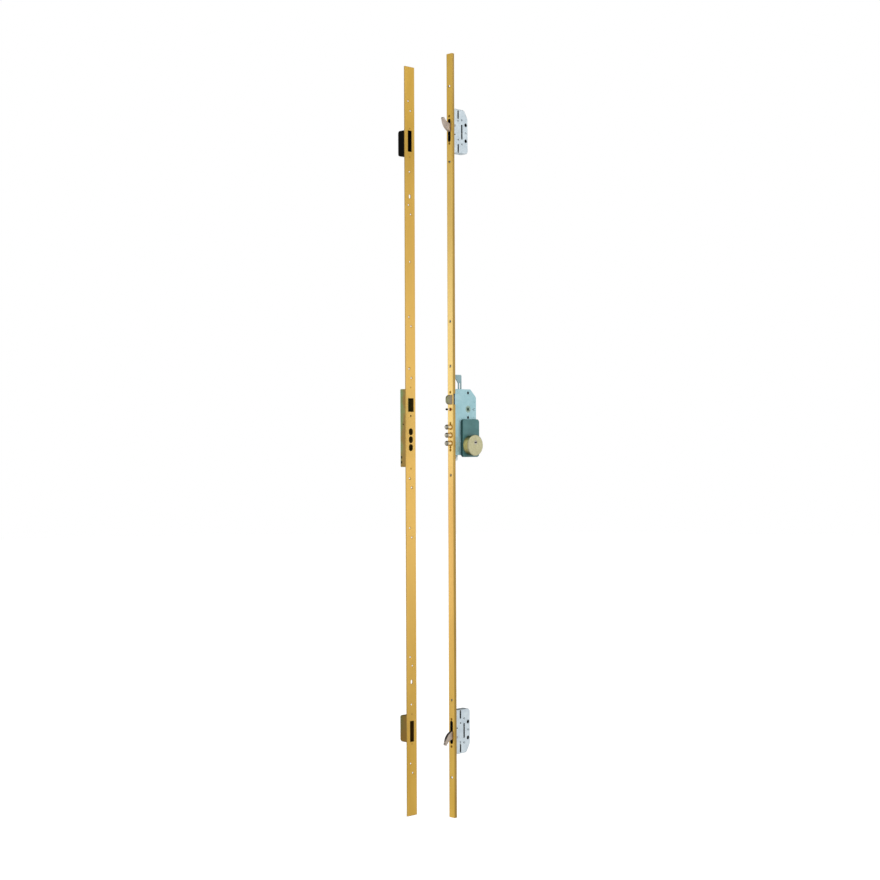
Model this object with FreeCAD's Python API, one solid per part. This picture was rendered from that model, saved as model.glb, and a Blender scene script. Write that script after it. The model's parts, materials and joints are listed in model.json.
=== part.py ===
import FreeCAD, Part
import math
import os

V = FreeCAD.Vector

# Frame: X runs from the faceplate's front into the door, Z is up, the outside of the door is at -Y.
# The origin lies on the faceplate's front face, in its middle, level with the key cylinder's axis.

# Sheet, layers and clearances shared by the whole lock
CASE_THICK = 18.0
SHEET = 1.5
CHANNEL_GAP = 0.4
RUN_FIT = 0.05
HOLE_GAP = 0.3
BOLT_HOLE_GAP = 0.8
LAYER_GAP = 0.6
SIDE_PLAY = 2.6
INNER = CASE_THICK / 2 - SHEET
OUTER = CASE_THICK / 2

# Faceplate channel
FACE_TOP = 1069.0
FACE_BOTTOM = -1031.0
FACE_WEB = 2.0
FACE_FLANGE = 1.6
FACE_DEPTH = 9.0
FACE_BEND = 2.2
FACE_HALF = OUTER + CHANNEL_GAP + FACE_FLANGE
DOOR_SCREW_Z = (980.0, 772.0, 333.0, 210.0, -90.0, -708.0, -921.0)
DOOR_SCREW_R = 2.75
DOOR_SCREW_HEAD_R = 4.7
SINK_SLOPE = 0.72
CASE_SCREW_R = 2.0
CASE_SCREW_HEAD_R = 3.7
CASE_SCREW_LENGTH = 11.0
RECESS_HALF = 2.1
RECESS_WIDTH = 1.1
RECESS_DEPTH = 1.0

# Centre case
CASE_TOP = 147.0
CASE_BOTTOM = -35.0
CASE_REAR = 91.0
CASE_BEVEL = 22.0
CASE_CORNER = 3.0
CASE_SCREW_TOP = 138.0
BLOCK_HALF = 3.3
BLOCK_DEPTH = 8.5
RIVET_R = 2.5
RIVET_NECK_R = 1.6
RIVET_HEAD = 0.6
CASE_RIVETS = (
    (22.0, 62.0), (22.0, 138.0), (86.0, 112.0), (84.5, 70.0), (74.0, -28.0), (16.0, -26.5))
STAKE_HOLES = ((79.4, 91.0), (83.2, 93.4), (83.2, 88.6))
STAKE_HOLE_R = 1.4

# Key cylinder, with a toothed cam
BACKSET = 60.0
CYL_R = 8.5
CYL_LEG_HALF = 5.0
CYL_HEIGHT = 33.0
CYL_OUT = 35.8
CYL_IN = 30.5
CYL_SCREW_Z = -21.0
CYL_SCREW_R = 2.45
CYL_SCREW_HEAD_R = 4.1
SCREW_HEAD_GAP = 0.2
PLUG_R = 6.5
PLUG_NOSE_R = 5.8
KEYWAY_WIDTH = 9.0
KEYWAY_HEIGHT = 2.9
KEYWAY_DEPTH = 27.0
PIN_R = 1.4
PIN_COUNT = 5
PIN_PITCH = 5.0
PIN_FIRST = 9.0
CAM_HALF = 5.0
CAM_BORE_R = 3.5

# Gearing: one key turn gives a third of a turn of the drive wheel
TOOTH_MODULE = 1.5
ADDENDUM = 0.8
DEDENDUM = 1.1
PRESSURE = math.radians(25.0)
BACKLASH = 0.16
CAM_TEETH = 10
WHEEL_TEETH = 30
BOLT_PINION_TEETH = 13
ROD_PINION_TEETH = 10
WHEEL_OFFSET = 5.0
WHEEL_THICK = 3.4
BOLT_LAYER = 3.6
ROD_LAYER = 3.2
AXLE_R = 3.0
KEY_TURN = 360.0

# Bolts and their carriage
BOLT_R = 7.0
BOLT_NOSE = 4.6
BOLT_TO_SCREW = 3.7
BOLT_PITCH = 22.3
BOLT_COUNT = 3
BOLT_OUT = 18.0
BOLT_REAR = 20.0
CARRIAGE_WIDTH = 6.5
CARRIAGE_PIN_R = 1.5
CARRIAGE_END = 68.5
RACK_BAR = 5.2

# Latch, follower and trigger
FOLLOWER_Z = 92.0
FOLLOWER_R = 11.0
COLLAR_R = 9.5
SPINDLE = 8.0
LATCH_Z = 117.5
LATCH_HALF_Z = 13.0
LATCH_HALF_Y = 7.2
LATCH_OUT = 12.0
LATCH_REAR = 8.5
LATCH_CORNER = 12.0
LATCH_TRAVEL = 12.0
FOLLOWER_LEVER = 20.0
ARM_REACH = 17.5
ARM_TIP_R = 4.0
TAIL_BOTTOM = 115.0
TAIL_TOP = 121.0
CATCH_WIDTH = 5.0
CATCH_GAP = 0.5
SPRING_ARM_REACH = 15.5
SPRING_ARM_TIP_R = 3.0
TRIGGER_Z = 91.0
TRIGGER_OUT = 17.0
TRIGGER_R = 2.0
TRIGGER_TIP_R = 2.75
TRIGGER_TIP_LENGTH = 5.5
TRIGGER_HOLE_R = 4.2
STOP_X = 34.0
STOP_THICK = 3.0
HANDLE_HOLES_Z = (137.0, 69.0)
HANDLE_HOLE_R = 4.0
WINDOW_WIDTH = 5.5
WINDOW_LOW = 104.0
WINDOW_HIGH = 134.0

# Links and rods to the hook cases
ROD_X = 4.0
ROD_THICK = 3.0
ROD_HALF = 6.6
ROD_SLOT_HALF = 3.2
ROD_SLOT_MARGIN = 3.4
UPPER_ROD_LOW = 160.0
LOWER_ROD_HIGH = -40.0
LINK_STRIP = 4.8
LINK_BAR_Z = 104.5
LINK_BAR = 7.0
PRONG_WIDTH = 3.0
PRONG_X = (35.2, 44.0)
LINK_HEAD_LOW = 163.8
LINK_HEAD_HIGH = 187.0
LINK_HEAD_SIDE = 176.5
LINK_HEAD_SIDE_X = 25.0
LINK_TONGUE_LOW = 177.5
LINK_TONGUE_HIGH = 185.5
LOWER_STRIP_X = 45.0
LOWER_STRIP = 5.5
LOWER_BAR_Z = -17.0
LOWER_BAR = 6.5
LOWER_LEG_X = 25.0
LOWER_LEG = 6.0
LOWER_FOOT_LOW = -51.0
LOWER_FOOT = 6.0

# Hook cases: the lower one mirrors the upper one about MIRROR_Z
MIRROR_Z = 30.5
HOOK_TOP = 918.0
HOOK_BOTTOM = 797.0
HOOK_REAR = 62.0
HOOK_BEVEL_X = 14.0
HOOK_BEVEL_Z = 24.0
HOOK_SLOT_LOW = 826.0
HOOK_SLOT_HIGH = 890.0
HOOK_SLOT_HALF = 5.5
PIVOT_X = 12.6
PIVOT_Z = 872.0
PIVOT_R = 3.0
HUB_R = 7.0
CLAW_Y0 = -4.5
CLAW_Y1 = 3.5
HOOK_TOOTH_MODULE = 1.25
HOOK_TEETH = 14
SLIDE_WIDTH = 9.4
SLIDE_LOW = 799.0
SLIDE_HIGH = 898.0
SLIDE_THICK = 3.4
SLIDE_FOOT = 4.0
GUIDE_PIN_R = 2.0
GUIDE_X = 25.6
GUIDE_Z = (894.0, 801.3)
GUIDE_SPARE_HIGH = 3.0
GUIDE_SPARE_LOW = 0.5
WINDOW_PIN_X = 39.7
WINDOW_PIN_Z = 852.5
WINDOW_PIN_R = 1.9
WINDOW_SLOT_LOW = 836.4
WINDOW_SLOT_HIGH = 876.8
HOOK_RIVETS = ((39.6, 889.6), (40.3, 823.0), (55.5, 855.7))
STUD_PLACE = (25.6, 886.5)
STUD_R = 1.8
HOOK_SMALL_HOLES = ((26.0, 834.2), (13.0, 847.0))
HOOK_SMALL_HOLE_R = 1.7
HOOK_HOLES = ((55.0, 877.7), (55.0, 833.7))
HOOK_HOLE_R = 4.6
HOOK_SCREW_HIGH = 897.0
HOOK_SCREW_LOW = 822.0

# Armour plate and escutcheon on the outside
ARMOUR_FRONT = 31.0
ARMOUR_REAR = 96.0
ARMOUR_TOP = 64.0
ARMOUR_BOTTOM = -40.5
ARMOUR_DEPTH = 8.0
ARMOUR_SHEET = 2.8
ARMOUR_CORNER = 8.5
ARMOUR_BOSS_R = 3.6
ARMOUR_BOSS_INSET = 7.5
ARMOUR_SCREW_R = 1.5
ARMOUR_SCREW_HEAD = 0.8
ESC_Z = -8.0
ESC_R = 26.8
ESC_DISC_R = 29.2
ESC_FRONT = 38.5
ESC_DISC_SHEET = 2.5
ESC_RIM_ROUND = 2.6
ESC_SKIRT = 1.5
ESC_SCREW_OFFSET = 17.0
ESC_SCREW_R = 2.5
ESC_SCREW_DEPTH = 11.0

# Keeper, standing at a right angle to the lock as in a door opened by a quarter turn.
# Its heights are those at which it meets the lock; it stands lower by KEEPER_DROP.
KEEPER_FRONT_Y = 161.0
KEEPER_X = 1.0
KEEPER_DROP = 12.0
KEEPER_WIDTH = 37.0
KEEPER_THICK = 3.0
KEEPER_TOP = 1072.0
KEEPER_BOTTOM = -1040.0
KEEPER_LEFT_Z = (975.0, 682.0, 366.0, 220.0, -89.0, -229.0, -593.0, -893.0)
KEEPER_RIGHT_Z = (948.0, 656.0, 340.0, 194.0, -115.0, -256.0, -618.0, -920.0)
KEEPER_MIDDLE_Z = (776.0, 522.0, -727.0)
KEEPER_STAGGER = 4.0
KEEPER_SCREW_R = 2.4
KEEPER_SCREW_HEAD_R = 4.6
KEEPER_ACCESS_Z = (706.0, -663.0)
KEEPER_ACCESS_HALF = 4.0
KEEPER_ACCESS_LENGTH = 12.0
KEEPER_HOOK_HALF = 7.5
KEEPER_UPPER_SLOT = (832.0, 892.0)
KEEPER_LOWER_SLOT = (-832.0, -773.0)
KEEPER_LATCH_LOW = 98.5
KEEPER_LATCH_HIGH = 137.0
KEEPER_LATCH_HALF = 11.0
KEEPER_BOLT_GAP = 0.6
KEEPER_BOLT_BRIDGE = 2.7
KEEPER_TRIGGER_Z = 87.0
KEEPER_TRIGGER_R = 2.6
BOX_WALL = 1.5
HOOK_BOX_WIDTH = 22.0
HOOK_BOX_DEPTH = 33.5
UPPER_BOX_Z = (821.5, 893.5)
LOWER_BOX_Z = (-833.5, -758.5)
MIDDLE_BOX_Z = (-57.0, 163.0)
MIDDLE_BOX_WIDTH = 30.0
MIDDLE_BOX_DEPTH = 24.0
BOX_LUG = 9.0
BOX_SCREW_R = 1.7
BOX_SCREW_HEAD_R = 3.0
NOTCH_Z = (-33.0, -47.0)
NOTCH = 5.0
SIDE_HOLE_Z = 63.8
SIDE_HOLE_R = 2.2
LIP_THICK = 1.5

# Values worked out from the driving dimensions
LOW_SCREW_Z = CYL_SCREW_Z + CYL_SCREW_HEAD_R + CASE_SCREW_HEAD_R + SCREW_HEAD_GAP
LOW_BOLT_Z = LOW_SCREW_Z + BOLT_R + BOLT_TO_SCREW
TOP_BOLT_Z = LOW_BOLT_Z + BOLT_PITCH * (BOLT_COUNT - 1)
CASE_SCREW_Z = (CASE_SCREW_TOP, TOP_BOLT_Z + BOLT_R + BOLT_TO_SCREW, LOW_SCREW_Z)
CAM_PITCH_R = TOOTH_MODULE * CAM_TEETH / 2
WHEEL_PITCH_R = TOOTH_MODULE * WHEEL_TEETH / 2
BOLT_PITCH_R = TOOTH_MODULE * BOLT_PINION_TEETH / 2
ROD_PITCH_R = TOOTH_MODULE * ROD_PINION_TEETH / 2
HOOK_PITCH_R = HOOK_TOOTH_MODULE * HOOK_TEETH / 2
CENTRES = CAM_PITCH_R + WHEEL_PITCH_R
WHEEL_X = BACKSET + WHEEL_OFFSET
WHEEL_Z = math.sqrt(CENTRES ** 2 - WHEEL_OFFSET ** 2)
WHEEL_TURN = math.radians(KEY_TURN) * CAM_TEETH / WHEEL_TEETH
BOLT_TRAVEL = BOLT_PITCH_R * WHEEL_TURN
ROD_TRAVEL = ROD_PITCH_R * WHEEL_TURN
HOOK_TURN = ROD_TRAVEL / HOOK_PITCH_R
WHEEL_Y0 = -INNER + SIDE_PLAY
WHEEL_Y1 = WHEEL_Y0 + WHEEL_THICK
BOLT_Y0 = WHEEL_Y1 + LAYER_GAP
BOLT_Y1 = BOLT_Y0 + BOLT_LAYER
ROD_Y0 = BOLT_Y1 + LAYER_GAP
ROD_Y1 = ROD_Y0 + ROD_LAYER
SLIDE_Y0 = CLAW_Y1 + HOLE_GAP
SLIDE_Y1 = SLIDE_Y0 + SLIDE_THICK
CASE_FRONT = FACE_WEB + SHEET
ARMOUR_FACE = -OUTER - ARMOUR_DEPTH
ROD_BACK = ROD_X + ROD_THICK
HOOK_MIDDLE_X = PIVOT_X + HOOK_PITCH_R
SLIDE_ROOT_X = HOOK_MIDDLE_X + DEDENDUM * HOOK_TOOTH_MODULE
SLIDE_BACK_X = SLIDE_ROOT_X + SLIDE_WIDTH


# Basic shapes
def box(x0, x1, y0, y1, z0, z1):
    return Part.makeBox(x1 - x0, y1 - y0, z1 - z0, V(x0, y0, z0))


def rod_x(radius, x0, x1, y, z):
    return Part.makeCylinder(radius, x1 - x0, V(x0, y, z), V(1, 0, 0))


def rod_y(radius, y0, y1, x, z):
    return Part.makeCylinder(radius, y1 - y0, V(x, y0, z), V(0, 1, 0))


def cone_x(radius0, radius1, x0, x1, y, z):
    return Part.makeCone(radius0, radius1, x1 - x0, V(x0, y, z), V(1, 0, 0))


def cone_y(radius0, radius1, y0, y1, x, z):
    return Part.makeCone(radius0, radius1, y1 - y0, V(x, y0, z), V(0, 1, 0))


def join(shapes):
    solid = shapes[0]
    for other in shapes[1:]:
        solid = solid.fuse(other)
    return solid.removeSplitter()


def group(shapes):
    return Part.makeCompound(shapes)


def rounded_wire(corners, place):
    """A closed wire through corners (a, b, radius), with an arc at each corner that has a radius."""
    count = len(corners)
    ends = []
    for index in range(count):
        before = corners[index - 1]
        here = corners[index]
        after = corners[(index + 1) % count]
        corner = V(here[0], here[1], 0)
        to_before = (V(before[0], before[1], 0) - corner).normalize()
        to_after = (V(after[0], after[1], 0) - corner).normalize()
        radius = here[2]
        if radius <= 0:
            ends.append((corner, corner, corner))
            continue
        half_angle = to_before.getAngle(to_after) / 2
        reach = radius / math.tan(half_angle)
        bisector = (to_before + to_after).normalize()
        centre = corner + bisector * (radius / math.sin(half_angle))
        ends.append((corner + to_before * reach, centre - bisector * radius, corner + to_after * reach))
    edges = []
    for index in range(count):
        start, middle, finish = ends[index]
        if corners[index][2] > 0:
            edges.append(Part.Arc(place(start), place(middle), place(finish)).toShape())
        next_start = ends[(index + 1) % count][0]
        if (next_start - finish).Length > 1e-6:
            edges.append(Part.LineSegment(place(finish), place(next_start)).toShape())
    return Part.Wire(edges)


def plate(corners, y0, y1):
    """A plate in the XZ plane with rounded corners (x, z, radius), from y0 to y1."""
    wire = rounded_wire(corners, lambda p: V(p.x, y0, p.y))
    return Part.Face(wire).extrude(V(0, y1 - y0, 0))


def bar_along_z(corners, z0, z1):
    """A bar whose section (x, y, radius) runs from z0 to z1."""
    wire = rounded_wire(corners, lambda p: V(p.x, p.y, z0))
    return Part.Face(wire).extrude(V(0, 0, z1 - z0))


def rectangle(x0, x1, z0, z1, radius=0.0):
    return [(x0, z0, radius), (x1, z0, radius), (x1, z1, radius), (x0, z1, radius)]


def slot_x(half, z0, z1, x0, x1, y=0.0):
    """An upright slot with round ends, cut along X."""
    middle = box(x0, x1, y - half, y + half, z0 + half, z1 - half)
    return join([middle, rod_x(half, x0, x1, y, z0 + half), rod_x(half, x0, x1, y, z1 - half)])


def slot_y(half, z0, z1, y0, y1, x):
    """An upright slot with round ends, cut along Y."""
    middle = box(x - half, x + half, y0, y1, z0 + half, z1 - half)
    return join([middle, rod_y(half, y0, y1, x, z0 + half), rod_y(half, y0, y1, x, z1 - half)])


def mirrored(shape):
    return shape.mirror(V(0, 0, MIRROR_Z), V(0, 0, 1))


def coil(radius, wire_r, turns, length):
    """An open compression spring along Z from the origin, as one unbroken tube."""
    path = Part.Wire(Part.makeHelix(length / turns, length, radius).Edges)
    ring = Part.Wire(Part.makeCircle(wire_r, V(radius, 0, 0), V(0, 1, 0)))
    return path.makePipeShell([ring], True, True)


# Fasteners
def cross_recess(x, z):
    long_half = RECESS_HALF
    thin_half = RECESS_WIDTH / 2
    depth = x + RECESS_DEPTH
    bar_a = box(x - 0.1, depth, -long_half, long_half, z - thin_half, z + thin_half)
    bar_b = box(x - 0.1, depth, -thin_half, thin_half, z - long_half, z + long_half)
    return bar_a.fuse(bar_b)


def screw_x(radius, head_r, length, z):
    """A countersunk screw whose flat head is flush with the faceplate's front."""
    head = cone_x(head_r, radius, 0.0, SINK_SLOPE * (head_r - radius), 0, z)
    shank = rod_x(radius, 0.5, length, 0, z)
    return join([head, shank]).cut(cross_recess(0.0, z))


def screw_hole_x(radius, head_r, length, z):
    head = cone_x(head_r + RUN_FIT, radius + RUN_FIT, 0.0, SINK_SLOPE * (head_r - radius), 0, z)
    mouth = rod_x(head_r + RUN_FIT, -1.0, 0.0, 0, z)
    return join([head, mouth, rod_x(radius + RUN_FIT, -0.5, length, 0, z)])


def rivet(x, z):
    """A spacer rivet between the two sides of a case, with a low head on each."""
    neck = rod_y(RIVET_NECK_R, -OUTER, OUTER, x, z)
    body = rod_y(RIVET_R, -INNER, INNER, x, z)
    head_out = rod_y(RIVET_R, -OUTER - RIVET_HEAD, -OUTER, x, z)
    head_in = rod_y(RIVET_R, OUTER, OUTER + RIVET_HEAD, x, z)
    return join([neck, body, head_out, head_in])


def rivet_hole(x, z):
    return rod_y(RIVET_NECK_R + RUN_FIT, -OUTER - 1, OUTER + 1, x, z)


# Gear teeth
def involute(angle):
    return math.tan(angle) - angle


def gear(teeth, module, phase, y0, y1, x, z, first=0, last=None):
    """A gear with one tooth centred at the angle phase; angles turn from +X towards +Z."""
    pitch_r = module * teeth / 2
    base_r = pitch_r * math.cos(PRESSURE)
    tip_r = pitch_r + ADDENDUM * module
    root_r = pitch_r - DEDENDUM * module
    half_tooth = (math.pi * module / 2 - BACKLASH / 2) / 2 / pitch_r
    start_r = max(base_r, root_r)
    steps = 4
    radii = [start_r + (tip_r - start_r) * step / steps for step in range(steps + 1)]
    points = []
    for tooth in range(teeth):
        middle = phase + 2 * math.pi * tooth / teeth
        flank = []
        for radius in radii:
            angle = math.acos(min(1.0, base_r / radius))
            flank.append((radius, half_tooth + involute(PRESSURE) - involute(angle)))
        if root_r < start_r:
            flank.insert(0, (root_r, flank[0][1]))
        for radius, offset in flank:
            points.append((radius, middle - offset))
        for radius, offset in reversed(flank):
            points.append((radius, middle + offset))
    corners = [V(x + r * math.cos(a), y0, z + r * math.sin(a)) for r, a in points]
    return Part.Face(Part.makePolygon(corners + corners[:1])).extrude(V(0, y1 - y0, 0))


def rack_points(module, centres, back):
    """Points (along, height) of a rack whose pitch line is at height 0; back is the far side of its bar."""
    half_pitch_width = (math.pi * module / 2 - BACKLASH / 2) / 2
    high = ADDENDUM * module
    low = -DEDENDUM * module
    step = math.pi * module
    points = [(centres[0] - step / 2, back), (centres[0] - step / 2, low)]
    for centre in centres:
        points.append((centre - half_pitch_width + low * math.tan(PRESSURE), low))
        points.append((centre - half_pitch_width + high * math.tan(PRESSURE), high))
        points.append((centre + half_pitch_width - high * math.tan(PRESSURE), high))
        points.append((centre + half_pitch_width - low * math.tan(PRESSURE), low))
    points.append((centres[-1] + step / 2, low))
    points.append((centres[-1] + step / 2, back))
    return points


def prism_xz(points, y0, y1):
    corners = [V(x, y0, z) for x, z in points]
    return Part.Face(Part.makePolygon(corners + corners[:1])).extrude(V(0, y1 - y0, 0))


def tooth_centres(module, middle, sign, travel):
    """Rack teeth on both sides of a gap at middle, enough for the travel towards sign."""
    step = math.pi * module
    count = int(math.ceil(travel / step + 0.7))
    centres = [middle + sign * step * (index + 0.5) for index in range(-1, count)]
    return sorted(centres)


# Faceplate
def faceplate():
    section = [
        (0, -FACE_HALF, FACE_BEND), (FACE_DEPTH, -FACE_HALF, 0),
        (FACE_DEPTH, FACE_HALF, 0), (0, FACE_HALF, FACE_BEND)]
    outer = bar_along_z(section, FACE_BOTTOM, FACE_TOP)
    half = FACE_HALF - FACE_FLANGE
    solid = outer.cut(box(FACE_WEB, FACE_DEPTH + 1, -half, half, FACE_BOTTOM - 1, FACE_TOP + 1))
    for z in DOOR_SCREW_Z:
        solid = solid.cut(screw_hole_x(DOOR_SCREW_R - RUN_FIT, DOOR_SCREW_HEAD_R - RUN_FIT, FACE_WEB + 1, z))
    for z in case_screw_heights():
        solid = solid.cut(screw_hole_x(CASE_SCREW_R, CASE_SCREW_HEAD_R, FACE_WEB + 1, z))
    solid = solid.cut(screw_hole_x(CYL_SCREW_R, CYL_SCREW_HEAD_R, FACE_WEB + 1, CYL_SCREW_Z))
    for z in bolt_heights():
        solid = solid.cut(rod_x(BOLT_R + BOLT_HOLE_GAP, -1, FACE_WEB + 1, 0, z))
    solid = solid.cut(latch_opening(-1, FACE_WEB + 0.5))
    solid = solid.cut(rod_x(TRIGGER_HOLE_R, -1, FACE_WEB + 1, 0, TRIGGER_Z))
    hook_slot = slot_x(HOOK_SLOT_HALF, HOOK_SLOT_LOW, HOOK_SLOT_HIGH, -1, FACE_WEB + 1)
    solid = solid.cut(hook_slot)
    solid = solid.cut(mirrored(hook_slot))
    notch = box(FACE_WEB, FACE_DEPTH + 1, -FACE_HALF - 1, FACE_HALF + 1, WINDOW_LOW, WINDOW_HIGH)
    return solid.cut(notch)


def latch_opening(x0, x1):
    half_y = LATCH_HALF_Y + HOLE_GAP
    half_z = LATCH_HALF_Z + HOLE_GAP
    return box(x0, x1, -half_y, half_y, LATCH_Z - half_z, LATCH_Z + half_z)


def bolt_heights():
    return [TOP_BOLT_Z - BOLT_PITCH * index for index in range(BOLT_COUNT)]


def case_screw_heights():
    upper = [HOOK_SCREW_HIGH, HOOK_SCREW_LOW]
    lower = [2 * MIRROR_Z - z for z in upper]
    return list(CASE_SCREW_Z) + upper + lower


# Sheet cases
def case_outline(inset=0.0):
    x0 = FACE_WEB + inset
    x1 = CASE_REAR - inset
    z0 = CASE_BOTTOM + inset
    z1 = CASE_TOP - inset
    bevel = CASE_BEVEL - inset * (2 - math.sqrt(2))
    corner = max(CASE_CORNER - inset, 0.5)
    soft = 2 * CASE_CORNER
    return [
        (x0, z0, corner), (x1, z0, corner), (x1, z1 - bevel, soft),
        (x1 - bevel, z1, soft), (x0, z1, corner)]


def hook_outline(inset=0.0):
    x0 = FACE_WEB + inset
    x1 = HOOK_REAR - inset
    z0 = HOOK_BOTTOM + inset
    z1 = HOOK_TOP - inset
    corner = max(CASE_CORNER - inset, 0.5)
    low_round = 10.0 - inset
    soft = 10.0
    return [
        (x0, z0, corner), (x1, z0, low_round), (x1, z1 - HOOK_BEVEL_Z, soft),
        (x1 - HOOK_BEVEL_X, z1, soft), (x0, z1, corner)]


def tray(outline):
    """The outer side of a case with its rim folded round it."""
    whole = plate(outline(0.0), -OUTER, INNER)
    hollow = plate(outline(SHEET), -INNER, INNER + 1)
    return whole.cut(hollow)


def euro_profile(gap, y0, y1):
    """The round-and-leg section of a key cylinder, with a gap all round."""
    barrel = rod_y(CYL_R + gap, y0, y1, BACKSET, 0)
    low = CYL_R - CYL_HEIGHT
    half = CYL_LEG_HALF + gap
    leg = plate(rectangle(BACKSET - half, BACKSET + half, low - gap, 0, half - 0.02), y0, y1)
    neck = box(BACKSET - half, BACKSET + half, y0, y1, low + half, -CYL_R / 2)
    return join([barrel, leg, neck])


def centre_case_cuts():
    cuts = [euro_profile(HOLE_GAP, -OUTER - 1, OUTER + 1)]
    cuts.append(rod_y(COLLAR_R + RUN_FIT, -OUTER - 1, OUTER + 1, BACKSET, FOLLOWER_Z))
    for z in HANDLE_HOLES_Z:
        cuts.append(rod_y(HANDLE_HOLE_R, -OUTER - 1, OUTER + 1, BACKSET, z))
    for x, z in CASE_RIVETS:
        cuts.append(rivet_hole(x, z))
    for x, z in STAKE_HOLES:
        cuts.append(rod_y(STAKE_HOLE_R, -OUTER - 1, OUTER + 1, x, z))
    cuts.append(rod_y(AXLE_R + RUN_FIT, -OUTER - 1, OUTER + 1, WHEEL_X, WHEEL_Z))
    return cuts


def case_body():
    solid = tray(case_outline)
    blocks = []
    for z in CASE_SCREW_Z:
        blocks.append(box(
            CASE_FRONT, CASE_FRONT + BLOCK_DEPTH, -INNER, INNER - 1, z - BLOCK_HALF, z + BLOCK_HALF))
    stop_end = STOP_X + STOP_THICK
    spring_y = latch_spring_y()
    spring_z = latch_spring_z()
    blocks.append(box(STOP_X, stop_end, -INNER, spring_y + 4.5, spring_z - 3.5, spring_z + 3.5))
    blocks.append(box(STOP_X, stop_end, -INNER, ROD_Y0 - HOLE_GAP, TRIGGER_Z - 4.5, TRIGGER_Z + 4.5))
    seat_x = BACKSET + SPRING_ARM_REACH
    blocks.append(box(seat_x - 4, seat_x + 4, -INNER, 0.0, spring_seat_z() - 2.5, spring_seat_z()))
    solid = join([solid] + blocks)
    for cut in centre_case_cuts():
        solid = solid.cut(cut)
    for z in CASE_SCREW_Z:
        solid = solid.cut(rod_x(CASE_SCREW_R + RUN_FIT, 0, CASE_FRONT + BLOCK_DEPTH + 1, 0, z))
    for z in bolt_heights():
        solid = solid.cut(rod_x(BOLT_R + HOLE_GAP, 0, CASE_FRONT + 1, 0, z))
    solid = solid.cut(latch_opening(0, CASE_FRONT + 0.5))
    solid = solid.cut(rod_x(TRIGGER_TIP_R + HOLE_GAP, 0, CASE_FRONT + 1, 0, TRIGGER_Z))
    solid = solid.cut(rod_x(TRIGGER_R + HOLE_GAP, STOP_X - 1, STOP_X + STOP_THICK + 1, 0, TRIGGER_Z))
    solid = solid.cut(rod_x(CYL_SCREW_R + RUN_FIT, 0, CASE_FRONT + 1, 0, CYL_SCREW_Z))
    window = rectangle(CASE_FRONT, CASE_FRONT + WINDOW_WIDTH, WINDOW_LOW, WINDOW_HIGH, 1.0)
    solid = solid.cut(plate(window, -OUTER - 1, -INNER))
    prong_end = PRONG_X[-1] + PRONG_WIDTH
    rods = [(PRONG_X[0], prong_end, CASE_TOP - SHEET - 1, CASE_TOP + 1)]
    rods.append((LOWER_LEG_X, LOWER_LEG_X + LOWER_LEG, CASE_BOTTOM - 1, CASE_BOTTOM + SHEET + 1))
    for x0, x1, z0, z1 in rods:
        solid = solid.cut(box(x0 - HOLE_GAP, x1 + HOLE_GAP, ROD_Y0 - HOLE_GAP, INNER + 1, z0, z1))
    for x, z in armour_corners():
        solid = solid.cut(rod_y(ARMOUR_SCREW_R + RUN_FIT, -OUTER - 1, -INNER + 0.5, x, z))
    return solid


def case_cover():
    solid = plate(case_outline(0.0), INNER, OUTER)
    for cut in centre_case_cuts():
        solid = solid.cut(cut)
    return solid


def latch_spring_y():
    return -INNER + 4.2


def latch_spring_z():
    return TAIL_TOP + 5.0


def spring_seat_z():
    return FOLLOWER_Z - SPRING_ARM_TIP_R - 30.5


def case_screws():
    screws = []
    for z in case_screw_heights():
        screws.append(screw_x(CASE_SCREW_R, CASE_SCREW_HEAD_R, CASE_SCREW_LENGTH, z))
    return group(screws)


# Key cylinder
def cylinder_body():
    solid = euro_profile(0.0, -CYL_OUT, CYL_IN)
    solid = solid.cut(rod_y(PLUG_R + RUN_FIT, -CYL_OUT - 1, CYL_IN + 1, BACKSET, 0))
    cam_tip = CAM_PITCH_R + ADDENDUM * TOOTH_MODULE
    cam_half = CAM_HALF + HOLE_GAP
    solid = solid.cut(box(BACKSET - 12, BACKSET + 12, -cam_half, cam_half, -cam_tip - 0.6, 12))
    solid = solid.cut(rod_x(CYL_SCREW_R + RUN_FIT, BACKSET - 8, BACKSET + 8, 0, CYL_SCREW_Z))
    for y in pin_rows():
        solid = solid.cut(pin_at(y, CYL_SCREW_Z - 1.0, -PLUG_R + 1, PIN_R + RUN_FIT))
    return solid


def pin_rows():
    outer = [-PIN_FIRST - PIN_PITCH * index for index in range(PIN_COUNT)]
    inner = [-y for y in outer if -y < CYL_IN - 1.5]
    return outer + inner


def pin_at(y, z0, z1, radius=PIN_R):
    return Part.makeCylinder(radius, z1 - z0, V(BACKSET, y, z0), V(0, 0, 1))


def plug(y_face, y_step, y_cam):
    """A cylinder plug from its face through its bearing stretch to its shaft inside the cam."""
    side = 1 if y_face > 0 else -1
    inner = side * (CAM_HALF + HOLE_GAP)
    body = rod_y(PLUG_R, min(y_step, inner), max(y_step, inner), BACKSET, 0)
    shaft = rod_y(CAM_BORE_R, min(inner, y_cam), max(inner, y_cam), BACKSET, 0)
    parts = [body, shaft]
    if abs(y_face - y_step) > 0.01:
        parts.append(rod_y(PLUG_NOSE_R, min(y_face, y_step), max(y_face, y_step), BACKSET, 0))
    solid = join(parts)
    deep = y_face - side * KEYWAY_DEPTH
    half_w = KEYWAY_WIDTH / 2
    half_h = KEYWAY_HEIGHT / 2
    y0, y1 = sorted((deep, y_face + side))
    keyway = plate(rectangle(BACKSET - half_w, BACKSET + half_w, -half_h, half_h, 1.0), y0, y1)
    solid = solid.cut(keyway)
    for y in pin_rows():
        if y * side > 0:
            solid = solid.cut(pin_at(y, -PLUG_R - 1, -half_h + 0.5, PIN_R + RUN_FIT))
    return solid


def outer_plug():
    return plug(-ESC_FRONT + 0.3, -CYL_OUT, -0.2)


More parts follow.
